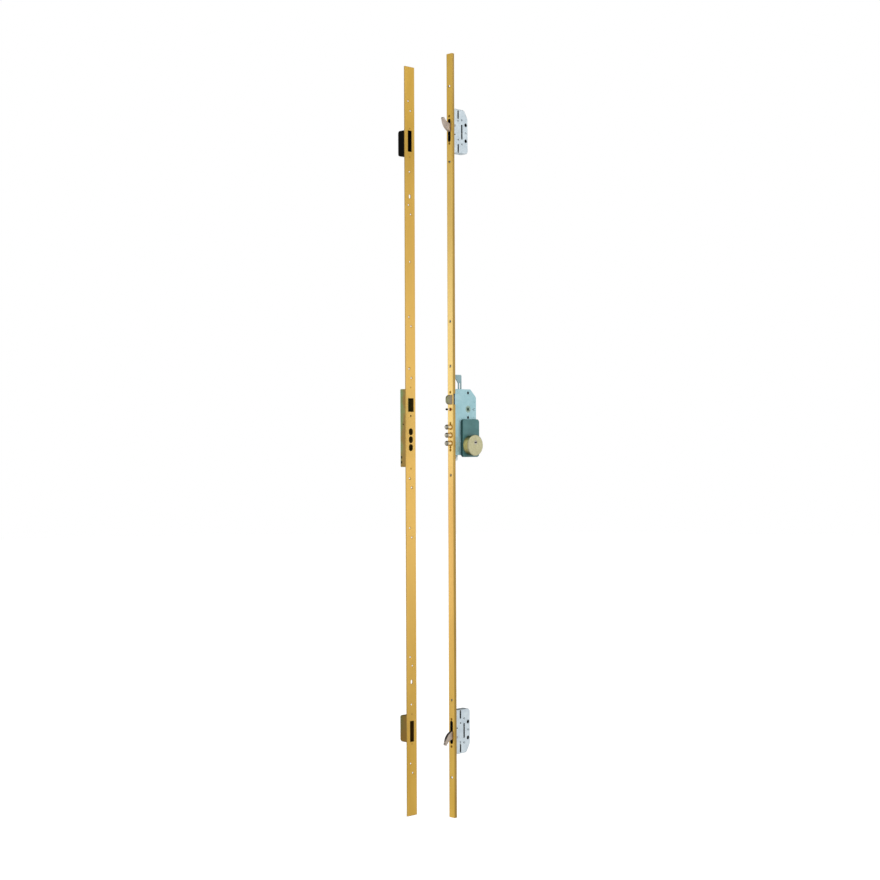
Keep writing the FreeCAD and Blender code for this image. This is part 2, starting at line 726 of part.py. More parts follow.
def inner_plug():
    return plug(CYL_IN, CYL_IN, 0.2)


def key_pins():
    # Each key pin ends on the plug's own curve, so that the shear line is clear
    pins = []
    shear = rod_y(PLUG_R, -CYL_OUT, CYL_IN, BACKSET, 0)
    for y in pin_rows():
        pins.append(pin_at(y, -PLUG_R - 0.5, -KEYWAY_HEIGHT / 2 - 0.2).common(shear))
    return group(pins)


def driver_pins():
    pins = []
    clear = rod_y(PLUG_R + 2 * RUN_FIT, -CYL_OUT, CYL_IN, BACKSET, 0)
    for y in pin_rows():
        pins.append(pin_at(y, CYL_SCREW_Z - 1.0, -PLUG_R + 0.5).cut(clear))
    return group(pins)


def cylinder_cam():
    # A tooth gap of the cam faces the wheel, and a tooth of the wheel lies in it
    towards_wheel = math.atan2(WHEEL_Z, WHEEL_OFFSET)
    phase = towards_wheel + math.pi / CAM_TEETH
    solid = gear(CAM_TEETH, TOOTH_MODULE, phase, -CAM_HALF, CAM_HALF, BACKSET, 0)
    return solid.cut(rod_y(CAM_BORE_R + RUN_FIT, -CAM_HALF - 1, CAM_HALF + 1, BACKSET, 0))


def cylinder_screw():
    return screw_x(CYL_SCREW_R, CYL_SCREW_HEAD_R, BACKSET + CYL_LEG_HALF - 1, CYL_SCREW_Z)


# Gear set
def drive_wheel():
    towards_cam = math.atan2(-WHEEL_Z, -WHEEL_OFFSET)
    solid = gear(WHEEL_TEETH, TOOTH_MODULE, towards_cam, WHEEL_Y0, WHEEL_Y1, WHEEL_X, WHEEL_Z)
    for index in range(4):
        angle = math.radians(45 + 90 * index)
        x = WHEEL_X + 14 * math.cos(angle)
        z = WHEEL_Z + 14 * math.sin(angle)
        solid = solid.cut(rod_y(4.0, WHEEL_Y0 - 1, WHEEL_Y1 + 1, x, z))
    return solid.cut(axle_bore())


def axle_bore():
    return rod_y(AXLE_R + RUN_FIT, -OUTER, OUTER, WHEEL_X, WHEEL_Z)


def bolt_pinion():
    down = -math.pi / 2
    phase = down + math.pi / BOLT_PINION_TEETH
    teeth = gear(BOLT_PINION_TEETH, TOOTH_MODULE, phase, BOLT_Y0, BOLT_Y1, WHEEL_X, WHEEL_Z)
    hub = rod_y(5.5, WHEEL_Y1, ROD_Y0, WHEEL_X, WHEEL_Z)
    return join([teeth, hub]).cut(axle_bore())


def rod_pinion():
    teeth = gear(ROD_PINION_TEETH, TOOTH_MODULE, 0.0, ROD_Y0, ROD_Y1, WHEEL_X, WHEEL_Z)
    return teeth.cut(axle_bore())


def wheel_axle():
    shaft = rod_y(AXLE_R, -OUTER, OUTER, WHEEL_X, WHEEL_Z)
    washer = rod_y(AXLE_R + 2, ROD_Y1 + 0.2, INNER, WHEEL_X, WHEEL_Z)
    shoulder = rod_y(AXLE_R + 2, -INNER, WHEEL_Y0 - 0.2, WHEEL_X, WHEEL_Z)
    return join([shaft, washer, shoulder])


# Bolts
def deadbolt(z):
    body = rod_x(BOLT_R, -BOLT_OUT, BOLT_REAR, 0, z)
    nose = [edge for edge in body.Edges if abs(edge.BoundBox.XMax + BOLT_OUT) < 0.01]
    body = body.makeFillet(BOLT_NOSE, nose)
    slot_front = BOLT_REAR - CARRIAGE_WIDTH - RUN_FIT
    slot = box(slot_front, BOLT_REAR + 1, BOLT_Y0 - RUN_FIT, BOLT_Y1 + RUN_FIT, z - 10, z + 10)
    pin = rod_y(CARRIAGE_PIN_R + RUN_FIT, -BOLT_R, BOLT_R, carriage_pin_x(), z)
    return body.cut(slot).cut(pin)


def carriage_pin_x():
    return BOLT_REAR - CARRIAGE_WIDTH / 2


def bolt_carriage():
    heights = bolt_heights()
    x0 = BOLT_REAR - CARRIAGE_WIDTH
    tie = plate(rectangle(x0, BOLT_REAR, heights[-1] - 4, heights[0] + 4, 1.5), BOLT_Y0, BOLT_Y1)
    pitch_z = WHEEL_Z - BOLT_PITCH_R
    bar_low = pitch_z - DEDENDUM * TOOTH_MODULE - RACK_BAR
    step = math.pi * TOOTH_MODULE
    count = int(BOLT_TRAVEL / step) + 2
    centres = [WHEEL_X - step * index for index in range(count, -1, -1)]
    points = [(x, pitch_z + h) for x, h in rack_points(TOOTH_MODULE, centres, bar_low - pitch_z)]
    rack = prism_xz(points, BOLT_Y0, BOLT_Y1)
    bar = box(BOLT_REAR - 1, CARRIAGE_END, BOLT_Y0, BOLT_Y1, bar_low, bar_low + RACK_BAR)
    solid = join([tie, bar, rack])
    for z in heights:
        solid = solid.cut(rod_y(CARRIAGE_PIN_R + RUN_FIT, -BOLT_R, BOLT_R, carriage_pin_x(), z))
    return solid


def carriage_pins():
    half = BOLT_R - 1
    return group([rod_y(CARRIAGE_PIN_R, -half, half, carriage_pin_x(), z) for z in bolt_heights()])


# Latch and follower
def latch_bolt():
    wide = LATCH_HALF_Y
    front = -LATCH_OUT
    section = [
        (LATCH_REAR, -wide, 0), (LATCH_REAR, wide, 0), (front, wide, 1.5),
        (front, wide - 4.5, 1.5), (front + 5.5, -2.0, 5.0), (-1.0, -wide, 1.0)]
    solid = bar_along_z(section, LATCH_Z - LATCH_HALF_Z, LATCH_Z + LATCH_HALF_Z)
    low = LATCH_Z - LATCH_HALF_Z
    high = LATCH_Z + LATCH_HALF_Z
    outline = [
        (front, low, LATCH_CORNER), (LATCH_REAR, low, 0),
        (LATCH_REAR, high, 0), (front, high, LATCH_CORNER)]
    solid = solid.common(plate(outline, -wide, wide))
    tail_room = box(
        1.5, LATCH_REAR + 1, WHEEL_Y0 - RUN_FIT, WHEEL_Y1 + RUN_FIT,
        TAIL_BOTTOM - RUN_FIT, TAIL_TOP + RUN_FIT)
    return solid.cut(tail_room)


def catch_x():
    return BACKSET + ARM_TIP_R + CATCH_GAP


def latch_tail():
    end = catch_x() + CATCH_WIDTH
    bar = box(1.6, end, WHEEL_Y0, WHEEL_Y1, TAIL_BOTTOM, TAIL_TOP)
    catch = box(catch_x(), end, WHEEL_Y0, WHEEL_Y1, FOLLOWER_Z + FOLLOWER_R, TAIL_BOTTOM + 1)
    return join([bar, catch])


def latch_spring():
    length = STOP_X - LATCH_REAR - 0.4
    shape = coil(2.9, 0.4, 9, length - 0.8)
    shape.rotate(V(0, 0, 0), V(0, 1, 0), 90)
    shape.translate(V(LATCH_REAR + 0.6, latch_spring_y(), latch_spring_z()))
    return shape


def follower():
    hub = rod_y(FOLLOWER_R, -INNER + 0.3, INNER - 0.3, BACKSET, FOLLOWER_Z)
    collar = rod_y(COLLAR_R, -OUTER, OUTER, BACKSET, FOLLOWER_Z)
    arm_top = FOLLOWER_Z + ARM_REACH
    arm = box(BACKSET - 3, BACKSET + 3, WHEEL_Y0, WHEEL_Y1, FOLLOWER_Z, arm_top)
    tip = rod_y(ARM_TIP_R, WHEEL_Y0, WHEEL_Y1, BACKSET, arm_top)
    side_x = BACKSET + SPRING_ARM_REACH
    side_half = SPRING_ARM_TIP_R
    side_arm = box(BACKSET, side_x, WHEEL_Y0, WHEEL_Y1, FOLLOWER_Z - side_half, FOLLOWER_Z + side_half)
    side_tip = rod_y(SPRING_ARM_TIP_R, WHEEL_Y0, WHEEL_Y1, side_x, FOLLOWER_Z)
    solid = join([hub, collar, arm, tip, side_arm, side_tip])
    half = SPINDLE / 2
    square = box(BACKSET - half, BACKSET + half, -OUTER - 1, OUTER + 1, FOLLOWER_Z - half, FOLLOWER_Z + half)
    return solid.cut(square)


def follower_spring():
    length = FOLLOWER_Z - SPRING_ARM_TIP_R - spring_seat_z()
    shape = coil(2.5, 0.45, 8, length - 1.3)
    shape.translate(V(BACKSET + SPRING_ARM_REACH, (WHEEL_Y0 + WHEEL_Y1) / 2, spring_seat_z() + 0.65))
    return shape


def trigger_pin():
    pin = rod_x(TRIGGER_R, -TRIGGER_OUT + TRIGGER_TIP_LENGTH, STOP_X + STOP_THICK - 0.5, 0, TRIGGER_Z)
    collar = rod_x(TRIGGER_R + 1.6, CASE_FRONT + 0.3, CASE_FRONT + 2.8, 0, TRIGGER_Z)
    return join([pin, collar])


def trigger_tip():
    front = -TRIGGER_OUT
    body = rod_x(TRIGGER_TIP_R, front, front + TRIGGER_TIP_LENGTH, 0, TRIGGER_Z)
    nose = [edge for edge in body.Edges if abs(edge.BoundBox.XMax - front) < 0.01]
    return body.makeFillet(2.0, nose)


def trigger_spring():
    start = CASE_FRONT + 3.0
    length = STOP_X - start - 0.4
    shape = coil(2.8, 0.45, 8, length - 1.0)
    shape.rotate(V(0, 0, 0), V(0, 1, 0), 90)
    shape.translate(V(start + 0.55, 0, TRIGGER_Z))
    return shape


# Links
def upper_link():
    pitch_x = WHEEL_X + ROD_PITCH_R
    centres = tooth_centres(TOOTH_MODULE, WHEEL_Z, -1, ROD_TRAVEL)
    back = -DEDENDUM * TOOTH_MODULE - LINK_STRIP
    points = [(pitch_x - h, z) for z, h in rack_points(TOOTH_MODULE, centres, back)]
    rack = prism_xz(points, ROD_Y0, ROD_Y1)
    strip_x = pitch_x + DEDENDUM * TOOTH_MODULE
    bar_high = LINK_BAR_Z + LINK_BAR
    strip = box(strip_x, strip_x + LINK_STRIP, ROD_Y0, ROD_Y1, centres[-1], bar_high)
    bar = box(PRONG_X[0], strip_x + LINK_STRIP, ROD_Y0, ROD_Y1, LINK_BAR_Z, bar_high)
    parts = [rack, strip, bar]
    for x in PRONG_X:
        parts.append(box(x, x + PRONG_WIDTH, ROD_Y0, ROD_Y1, LINK_BAR_Z, LINK_HEAD_LOW + 6))
    head_x = ROD_BACK + 0.5
    end = PRONG_X[-1] + PRONG_WIDTH
    head = [
        (head_x, LINK_HEAD_SIDE, 1.0), (LINK_HEAD_SIDE_X, LINK_HEAD_SIDE, 4.0),
        (PRONG_X[0], LINK_HEAD_LOW, 1.0),
        (end, LINK_HEAD_LOW, 0), (end, LINK_HEAD_HIGH, 4.0), (head_x, LINK_HEAD_HIGH, 1.0)]
    parts.append(plate(head, ROD_Y0, ROD_Y1))
    parts.append(box(ROD_X + RUN_FIT, head_x + 1, ROD_Y0, ROD_Y1, LINK_TONGUE_LOW, LINK_TONGUE_HIGH))
    return join(parts)


def lower_link():
    pitch_x = WHEEL_X - ROD_PITCH_R
    centres = tooth_centres(TOOTH_MODULE, WHEEL_Z, 1, ROD_TRAVEL)
    back = LOWER_STRIP_X - pitch_x
    points = [(pitch_x + h, z) for z, h in rack_points(TOOTH_MODULE, centres, back)]
    rack = prism_xz(points, ROD_Y0, ROD_Y1)
    x1 = LOWER_STRIP_X + LOWER_STRIP
    bar_high = LOWER_BAR_Z + LOWER_BAR
    strip = box(LOWER_STRIP_X, x1, ROD_Y0, ROD_Y1, LOWER_BAR_Z, centres[0])
    bar = box(LOWER_LEG_X, x1, ROD_Y0, ROD_Y1, LOWER_BAR_Z, bar_high)
    foot_high = LOWER_FOOT_LOW + LOWER_FOOT
    leg_end = LOWER_LEG_X + LOWER_LEG
    outline = [
        (ROD_BACK + 0.5, LOWER_FOOT_LOW, 0), (leg_end, LOWER_FOOT_LOW, 5.5),
        (leg_end, LOWER_BAR_Z + 1, 0), (LOWER_LEG_X, LOWER_BAR_Z + 1, 0),
        (LOWER_LEG_X, foot_high, 2.0), (ROD_BACK + 0.5, foot_high, 0)]
    leg = plate(outline, ROD_Y0, ROD_Y1)
    tongue = box(ROD_X + RUN_FIT, ROD_BACK + 1, ROD_Y0, ROD_Y1, LOWER_FOOT_LOW, foot_high)
    return join([rack, strip, bar, leg, tongue])


def rod(z0, z1, notch_low, notch_high, travel_low, travel_high):
    """A flat rod in the channel; its slots let the door screws pass over the whole travel."""
    solid = box(ROD_X, ROD_BACK, -ROD_HALF, ROD_HALF, z0, z1)
    solid = solid.cut(box(
        ROD_X - 1, ROD_BACK + 1, ROD_Y0 - RUN_FIT, ROD_HALF + 1,
        notch_low - RUN_FIT, notch_high + RUN_FIT))
    for z in DOOR_SCREW_Z:
        if z0 < z < z1:
            slot_low = z - travel_low - ROD_SLOT_MARGIN
            slot_high = z + travel_high + ROD_SLOT_MARGIN
            solid = solid.cut(slot_x(ROD_SLOT_HALF, slot_low, slot_high, ROD_X - 1, ROD_BACK + 1))
    return solid


def rod_end_cuts():
    """The notch for the slide's foot and the fork round the hook case's screw, at the upper rod's end."""
    end = upper_rod_end()
    foot = box(
        ROD_X - 1, ROD_BACK + 1, SLIDE_Y0 - RUN_FIT, ROD_HALF + 1,
        SLIDE_LOW - RUN_FIT, SLIDE_LOW + SLIDE_FOOT + RUN_FIT)
    fork_half = CASE_SCREW_R + 0.6
    fork_low = HOOK_SCREW_LOW - ROD_TRAVEL - CASE_SCREW_R - 1.0
    fork = box(ROD_X - 1, ROD_BACK + 1, -fork_half, fork_half, fork_low, end + 1)
    return foot.fuse(fork)


def upper_rod_end():
    return SLIDE_LOW + SLIDE_FOOT + 9.0


def upper_rod():
    solid = rod(UPPER_ROD_LOW, upper_rod_end(), LINK_TONGUE_LOW, LINK_TONGUE_HIGH, ROD_TRAVEL, 0.0)
    return solid.cut(rod_end_cuts())


def lower_rod():
    low = 2 * MIRROR_Z - upper_rod_end()
    solid = rod(low, LOWER_ROD_HIGH, LOWER_FOOT_LOW, LOWER_FOOT_LOW + LOWER_FOOT, 0.0, ROD_TRAVEL)
    return solid.cut(mirrored(rod_end_cuts()))


# Upper hook case; the lower one is its mirror image
def guide_slots():
    """Slots in a case side that the slide's guide pins run in."""
    gap = 0.1
    half = GUIDE_PIN_R + gap
    cuts = []
    for z in GUIDE_Z:
        low = z - half - GUIDE_SPARE_LOW
        high = z + ROD_TRAVEL + half + GUIDE_SPARE_HIGH
        cuts.append(slot_y(half, low, high, -OUTER - 1, OUTER + 1, GUIDE_X))
    cuts.append(slot_y(half, WINDOW_SLOT_LOW, WINDOW_SLOT_HIGH, -OUTER - 1, OUTER + 1, WINDOW_PIN_X))
    return cuts


def hook_case_cuts():
    cuts = guide_slots()
    for x, z in HOOK_HOLES:
        cuts.append(rod_y(HOOK_HOLE_R, -OUTER - 1, OUTER + 1, x, z))
    for x, z in HOOK_RIVETS:
        cuts.append(rivet_hole(x, z))
    cuts.append(rod_y(PIVOT_R + RUN_FIT, -OUTER - 1, OUTER + 1, PIVOT_X, PIVOT_Z))
    return cuts


def hook_case_body():
    solid = tray(hook_outline)
    block_end = CASE_FRONT + BLOCK_DEPTH
    high_block = box(CASE_FRONT, block_end, -INNER, INNER - 1, HOOK_SCREW_HIGH - 4, HOOK_SCREW_HIGH + 4)
    low_x = ROD_BACK + 0.4
    low_block = box(low_x, low_x + 5.5, -INNER, CLAW_Y1 - 0.1, HOOK_SCREW_LOW - 4, HOOK_SCREW_LOW + 4)
    solid = join([solid, high_block, low_block])
    for cut in hook_case_cuts():
        solid = solid.cut(cut)
    solid = solid.cut(rod_y(STUD_R + RUN_FIT, -OUTER - 1, -INNER + 0.1, *STUD_PLACE))
    for x, z in HOOK_SMALL_HOLES:
        solid = solid.cut(rod_y(HOOK_SMALL_HOLE_R, -OUTER - 1, -INNER + 0.1, x, z))
    for z in (HOOK_SCREW_HIGH, HOOK_SCREW_LOW):
        solid = solid.cut(rod_x(CASE_SCREW_R + RUN_FIT, 0, 16, 0, z))
    solid = solid.cut(slot_x(HOOK_SLOT_HALF + HOLE_GAP, HOOK_SLOT_LOW, HOOK_SLOT_HIGH, 0, CASE_FRONT + 1))
    rod_gap = box(
        ROD_X - HOLE_GAP, ROD_BACK + HOLE_GAP, -ROD_HALF - HOLE_GAP, INNER + 1,
        HOOK_BOTTOM - 1, HOOK_BOTTOM + SHEET + 2)
    return solid.cut(rod_gap)


def hook_case_cover():
    solid = plate(hook_outline(0.0), INNER, OUTER)
    for cut in hook_case_cuts():
        solid = solid.cut(cut)
    return solid


def hook_rivets():
    parts = [rivet(x, z) for x, z in HOOK_RIVETS]
    parts.append(rod_y(STUD_R, -OUTER - RIVET_HEAD, -INNER, *STUD_PLACE))
    return group(parts)


def hook_pivot():
    return rod_y(PIVOT_R, -OUTER - 0.3, OUTER + 0.3, PIVOT_X, PIVOT_Z)


def claw_wire():
    """The blade's outline, from the hub round the outer curve to the tip and back along the catch."""
    def at(u, w):
        return V(PIVOT_X + u, CLAW_Y0, PIVOT_Z + w)
    heel = at(0.0, -HUB_R)
    back = at(-9.0, -18.5)
    edges = [Part.LineSegment(heel, back).toShape()]
    edges.append(Part.Arc(back, at(-28.0, -9.5), at(-39.0, 13.0)).toShape())
    edges.append(Part.Arc(at(-39.0, 13.0), at(-38.6, 18.6), at(-34.5, 18.0)).toShape())
    edges.append(Part.Arc(at(-34.5, 18.0), at(-25.0, 8.0), at(-12.6, 4.5)).toShape())
    edges.append(Part.LineSegment(at(-12.6, 4.5), at(-2.5, 6.5)).toShape())
    edges.append(Part.LineSegment(at(-2.5, 6.5), heel).toShape())
    return Part.Wire(edges)


def hook():
    claw = Part.Face(claw_wire()).extrude(V(0, CLAW_Y1 - CLAW_Y0, 0))
    hub = rod_y(HUB_R, CLAW_Y0, SLIDE_Y1, PIVOT_X, PIVOT_Z)
    phase = math.pi / HOOK_TEETH
    teeth = gear(HOOK_TEETH, HOOK_TOOTH_MODULE, phase, SLIDE_Y0 - HOLE_GAP, SLIDE_Y1, PIVOT_X, PIVOT_Z)
    # Only the teeth that meet the slide are kept; the rest of the wheel would reach the case's front
    reach = HOOK_PITCH_R + 3
    low_angle = -HOOK_TURN - math.radians(20)
    high_angle = math.radians(22)
    steps = 8
    fan = [(PIVOT_X, PIVOT_Z)]
    for index in range(steps + 1):
        angle = low_angle + (high_angle - low_angle) * index / steps
        fan.append((PIVOT_X + reach * math.cos(angle), PIVOT_Z + reach * math.sin(angle)))
    sector = teeth.common(prism_xz(fan, SLIDE_Y0 - HOLE_GAP, SLIDE_Y1))
    solid = join([claw, hub, sector])
    return solid.cut(rod_y(PIVOT_R + RUN_FIT, -OUTER, OUTER, PIVOT_X, PIVOT_Z))


def hook_slide():
    centres = tooth_centres(HOOK_TOOTH_MODULE, PIVOT_Z, -1, ROD_TRAVEL)
    # The hub shows a gap to the slide, so a slide tooth stands level with the pivot
    step = math.pi * HOOK_TOOTH_MODULE
    centres = [z + step / 2 for z in centres]
    back = -DEDENDUM * HOOK_TOOTH_MODULE - SLIDE_WIDTH
    points = [(HOOK_MIDDLE_X - h, z) for z, h in rack_points(HOOK_TOOTH_MODULE, centres, back)]
    rack = prism_xz(points, SLIDE_Y0, SLIDE_Y1)
    strip = plate(rectangle(SLIDE_ROOT_X, SLIDE_BACK_X, SLIDE_LOW, SLIDE_HIGH, 1.5), SLIDE_Y0, SLIDE_Y1)
    ear_half = 4.0
    outline = rectangle(
        SLIDE_BACK_X - 2, WINDOW_PIN_X + 3.2, WINDOW_PIN_Z - ear_half, WINDOW_PIN_Z + ear_half, 1.5)
    ear = plate(outline, SLIDE_Y0, SLIDE_Y1)
    foot = box(ROD_X + RUN_FIT, SLIDE_BACK_X - 2, SLIDE_Y0, SLIDE_Y1, SLIDE_LOW, SLIDE_LOW + SLIDE_FOOT)
    solid = join([rack, strip, ear, foot])
    for x, z, radius in guide_pin_places():
        solid = solid.cut(rod_y(radius + RUN_FIT, SLIDE_Y0 - 1, SLIDE_Y1 + 1, x, z))
    return solid


def guide_pin_places():
    places = [(GUIDE_X, z, GUIDE_PIN_R) for z in GUIDE_Z]
    places.append((WINDOW_PIN_X, WINDOW_PIN_Z, WINDOW_PIN_R))
    return places


def guide_pins():
    half = OUTER - 0.3
    return group([rod_y(radius, -half, half, x, z) for x, z, radius in guide_pin_places()])


# Armour plate and escutcheon
def armour_corners():
    x0 = ARMOUR_FRONT + ARMOUR_BOSS_INSET
    x1 = CASE_REAR - ARMOUR_BOSS_INSET + 3.0
    z0 = CASE_BOTTOM + ARMOUR_BOSS_INSET
    z1 = ARMOUR_TOP - ARMOUR_BOSS_INSET
    return [(x0, z0), (x1, z0), (x0, z1), (x1, z1)]


def armour_plate():
    outline = rectangle(ARMOUR_FRONT, ARMOUR_REAR, ARMOUR_BOTTOM, ARMOUR_TOP, ARMOUR_CORNER)
    solid = plate(outline, ARMOUR_FACE, -OUTER)
    front_edges = [edge for edge in solid.Edges if edge.BoundBox.YMax < ARMOUR_FACE + 0.01]
    solid = solid.makeFillet(1.5, front_edges)
    wall = ARMOUR_SHEET
    inner = rectangle(
        ARMOUR_FRONT + wall, ARMOUR_REAR - wall,
        ARMOUR_BOTTOM + wall, ARMOUR_TOP - wall, ARMOUR_CORNER - wall)
    solid = solid.cut(plate(inner, ARMOUR_FACE + wall, -OUTER + 1))
    bosses = [rod_y(ARMOUR_BOSS_R, ARMOUR_FACE + wall - 0.5, -OUTER, x, z) for x, z in armour_corners()]
    solid = join([solid] + bosses)
    for x, z in armour_corners():
        solid = solid.cut(rod_y(ARMOUR_SCREW_R + RUN_FIT, ARMOUR_FACE + wall, -OUTER + 1, x, z))
    for x in escutcheon_screw_x():
        solid = solid.cut(rod_y(ESC_SCREW_R + RUN_FIT, ARMOUR_FACE - 1, -OUTER, x, ESC_Z))
    return solid.cut(euro_profile(HOLE_GAP, ARMOUR_FACE - 1, -OUTER + 1))


def armour_screws():
    parts = []
    for x, z in armour_corners():
        shank = rod_y(ARMOUR_SCREW_R, ARMOUR_FACE + ARMOUR_SHEET + 0.4, -INNER, x, z)
        head = rod_y(ARMOUR_SCREW_R + 1.2, -INNER, -INNER + ARMOUR_SCREW_HEAD, x, z)
        parts.append(join([shank, head]))
    return group(parts)


def escutcheon_screw_x():
    return (BACKSET - ESC_SCREW_OFFSET, BACKSET + ESC_SCREW_OFFSET)


def escutcheon_base():
    front = -ESC_FRONT + ESC_DISC_SHEET
    solid = rod_y(ESC_R, front, ARMOUR_FACE, BACKSET, ESC_Z)
    solid = solid.cut(euro_profile(HOLE_GAP, front - 1, ARMOUR_FACE + 1))
    bottom = ARMOUR_FACE - ESC_SCREW_DEPTH
    for x in escutcheon_screw_x():
        solid = solid.cut(rod_y(ESC_SCREW_R + RUN_FIT, bottom, ARMOUR_FACE + 1, x, ESC_Z))
    return solid


def escutcheon_disc():
    front = -ESC_FRONT
    solid = rod_y(ESC_DISC_R, front, front + ESC_DISC_SHEET + ESC_SKIRT, BACKSET, ESC_Z)
    rim = [edge for edge in solid.Edges if edge.BoundBox.YMax < front + 0.01]
    solid = solid.makeFillet(ESC_RIM_ROUND, rim)
    inside = front + ESC_DISC_SHEET
    recess = rod_y(ESC_R + RUN_FIT, inside, inside + ESC_SKIRT + 1, BACKSET, ESC_Z)
    return solid.cut(recess).cut(rod_y(PLUG_NOSE_R + RUN_FIT, front - 1, front + 9, BACKSET, 0))


def escutcheon_screws():
    parts = []
    for x in escutcheon_screw_x():
        seat = ARMOUR_FACE + ARMOUR_SHEET
        shank = rod_y(ESC_SCREW_R, ARMOUR_FACE - ESC_SCREW_DEPTH + 1, seat, x, ESC_Z)
        head = rod_y(ESC_SCREW_R + 1.8, seat, seat + 2.2, x, ESC_Z)
        parts.append(join([shank, head]))
    return group(parts)


# Keeper
def keeper_screw_cut(x, z, radius=KEEPER_SCREW_R, head_r=KEEPER_SCREW_HEAD_R):
    face = KEEPER_FRONT_Y
    hole = rod_y(radius, face - 1, face + KEEPER_THICK + 1, x, z)
    sink = cone_y(head_r, radius, face, face + SINK_SLOPE * (head_r - radius), x, z)
    return hole.fuse(sink)


def keeper_plate():
    y0 = KEEPER_FRONT_Y
    y1 = KEEPER_FRONT_Y + KEEPER_THICK
    half = KEEPER_WIDTH / 2
    outline = rectangle(KEEPER_X - half, KEEPER_X + half, KEEPER_BOTTOM, KEEPER_TOP, 1.5)
    solid = plate(outline, y0, y1)
    long_edges = [e for e in solid.Edges if e.BoundBox.YMax < y0 + 0.01 and e.BoundBox.ZLength > 100]
    solid = solid.makeFillet(0.8, long_edges)
    for z in KEEPER_LEFT_Z:
        solid = solid.cut(keeper_screw_cut(KEEPER_X - KEEPER_STAGGER, z))
    for z in KEEPER_RIGHT_Z:
        solid = solid.cut(keeper_screw_cut(KEEPER_X + KEEPER_STAGGER, z))
    for z in KEEPER_MIDDLE_Z:
        solid = solid.cut(keeper_screw_cut(KEEPER_X, z))
    for z in box_screw_heights():
        solid = solid.cut(keeper_screw_cut(KEEPER_X, z, BOX_SCREW_R + RUN_FIT, BOX_SCREW_HEAD_R + RUN_FIT))
    for z in KEEPER_ACCESS_Z:
        low = z - KEEPER_ACCESS_LENGTH / 2
        high = low + KEEPER_ACCESS_LENGTH
        solid = solid.cut(slot_y(KEEPER_ACCESS_HALF, low, high, y0 - 1, y1 + 1, KEEPER_X))
    for low, high in (KEEPER_UPPER_SLOT, KEEPER_LOWER_SLOT):
        solid = solid.cut(keeper_window(KEEPER_HOOK_HALF, low, high, 2.0))
    solid = solid.cut(keeper_window(KEEPER_LATCH_HALF, KEEPER_LATCH_LOW, KEEPER_LATCH_HIGH, 0.8))
    bolt_half = BOLT_R + KEEPER_BOLT_GAP
    half_height = (BOLT_PITCH - KEEPER_BOLT_BRIDGE) / 2
    for z in bolt_heights():
        solid = solid.cut(keeper_window(bolt_half, z - half_height, z + half_height, bolt_half - 0.2))
    return solid.cut(rod_y(KEEPER_TRIGGER_R, y0 - 1, y1 + 1, KEEPER_X, KEEPER_TRIGGER_Z))


def keeper_window(half, low, high, radius):
    outline = rectangle(KEEPER_X - half, KEEPER_X + half, low, high, radius)
    return plate(outline, KEEPER_FRONT_Y - 1, KEEPER_FRONT_Y + KEEPER_THICK + 1)


def keeper_box(heights, width, depth, corner):
    """A box behind the keeper, open towards it, with a lug for a screw at the top and the bottom."""
    low, high = heights
    y0 = KEEPER_FRONT_Y + KEEPER_THICK
    y1 = y0 + depth
    half = width / 2
    wall = BOX_WALL
    profile = [(y0, low, 0), (y1, low, corner), (y1, high, corner), (y0, high, 0)]
    inner_profile = [
        (y0 - 1, low + wall, 0), (y1 - wall, low + wall, corner - wall),
        (y1 - wall, high - wall, corner - wall), (y0 - 1, high - wall, 0)]
    outer_wire = rounded_wire(profile, lambda p: V(KEEPER_X - half, p.x, p.y))
    inner_wire = rounded_wire(inner_profile, lambda p: V(KEEPER_X - half + wall, p.x, p.y))
    solid = Part.Face(outer_wire).extrude(V(width, 0, 0))
    solid = solid.cut(Part.Face(inner_wire).extrude(V(width - 2 * wall, 0, 0)))
    lug_half = BOX_LUG / 2
    lugs = []
    for z0, z1 in ((low - BOX_LUG, low + 0.5), (high - 0.5, high + BOX_LUG)):
        outline = rectangle(KEEPER_X - lug_half, KEEPER_X + lug_half, z0, z1, 0)
        lugs.append(plate(outline, y0, y0 + 2 * wall))
    solid = join([solid] + lugs)
    for z in (low - BOX_LUG / 2, high + BOX_LUG / 2):
        solid = solid.cut(rod_y(BOX_SCREW_R + RUN_FIT, y0 - 1, y0 + 3 * wall, KEEPER_X, z))
    return solid


def keeper_upper_box():
    return keeper_box(UPPER_BOX_Z, HOOK_BOX_WIDTH, HOOK_BOX_DEPTH, 7.0)


def keeper_lower_box():
    return keeper_box(LOWER_BOX_Z, HOOK_BOX_WIDTH, HOOK_BOX_DEPTH, 7.0)


def keeper_middle_box():
    solid = keeper_box(MIDDLE_BOX_Z, MIDDLE_BOX_WIDTH, MIDDLE_BOX_DEPTH, 3.0)
    seat_x, seat_z = lip_screw_place()
    y0 = KEEPER_FRONT_Y + KEEPER_THICK
    y1 = y0 + MIDDLE_BOX_DEPTH - BOX_WALL
    seat_x0 = KEEPER_X - MIDDLE_BOX_WIDTH / 2 + BOX_WALL
    seat = box(seat_x0, seat_x + 3, lip_back_y(), y1 + 0.5, seat_z - 4, seat_z + 4)
    solid = join([solid, seat])
    # Two notches and a hole in the side wall that faces the door frame's outside
    side_x0 = KEEPER_X - MIDDLE_BOX_WIDTH / 2 - 1
    side_x1 = side_x0 + BOX_WALL + 2
    for z in NOTCH_Z:
        solid = solid.cut(box(side_x0, side_x1, y1 - NOTCH, y1 - 0.5, z, z + NOTCH + 2))
    solid = solid.cut(rod_x(SIDE_HOLE_R, side_x0, side_x1, y0 + MIDDLE_BOX_DEPTH / 2, SIDE_HOLE_Z))
    return solid.cut(rod_y(BOX_SCREW_R + RUN_FIT, lip_back_y() - 1, lip_back_y() + 7, seat_x, seat_z))


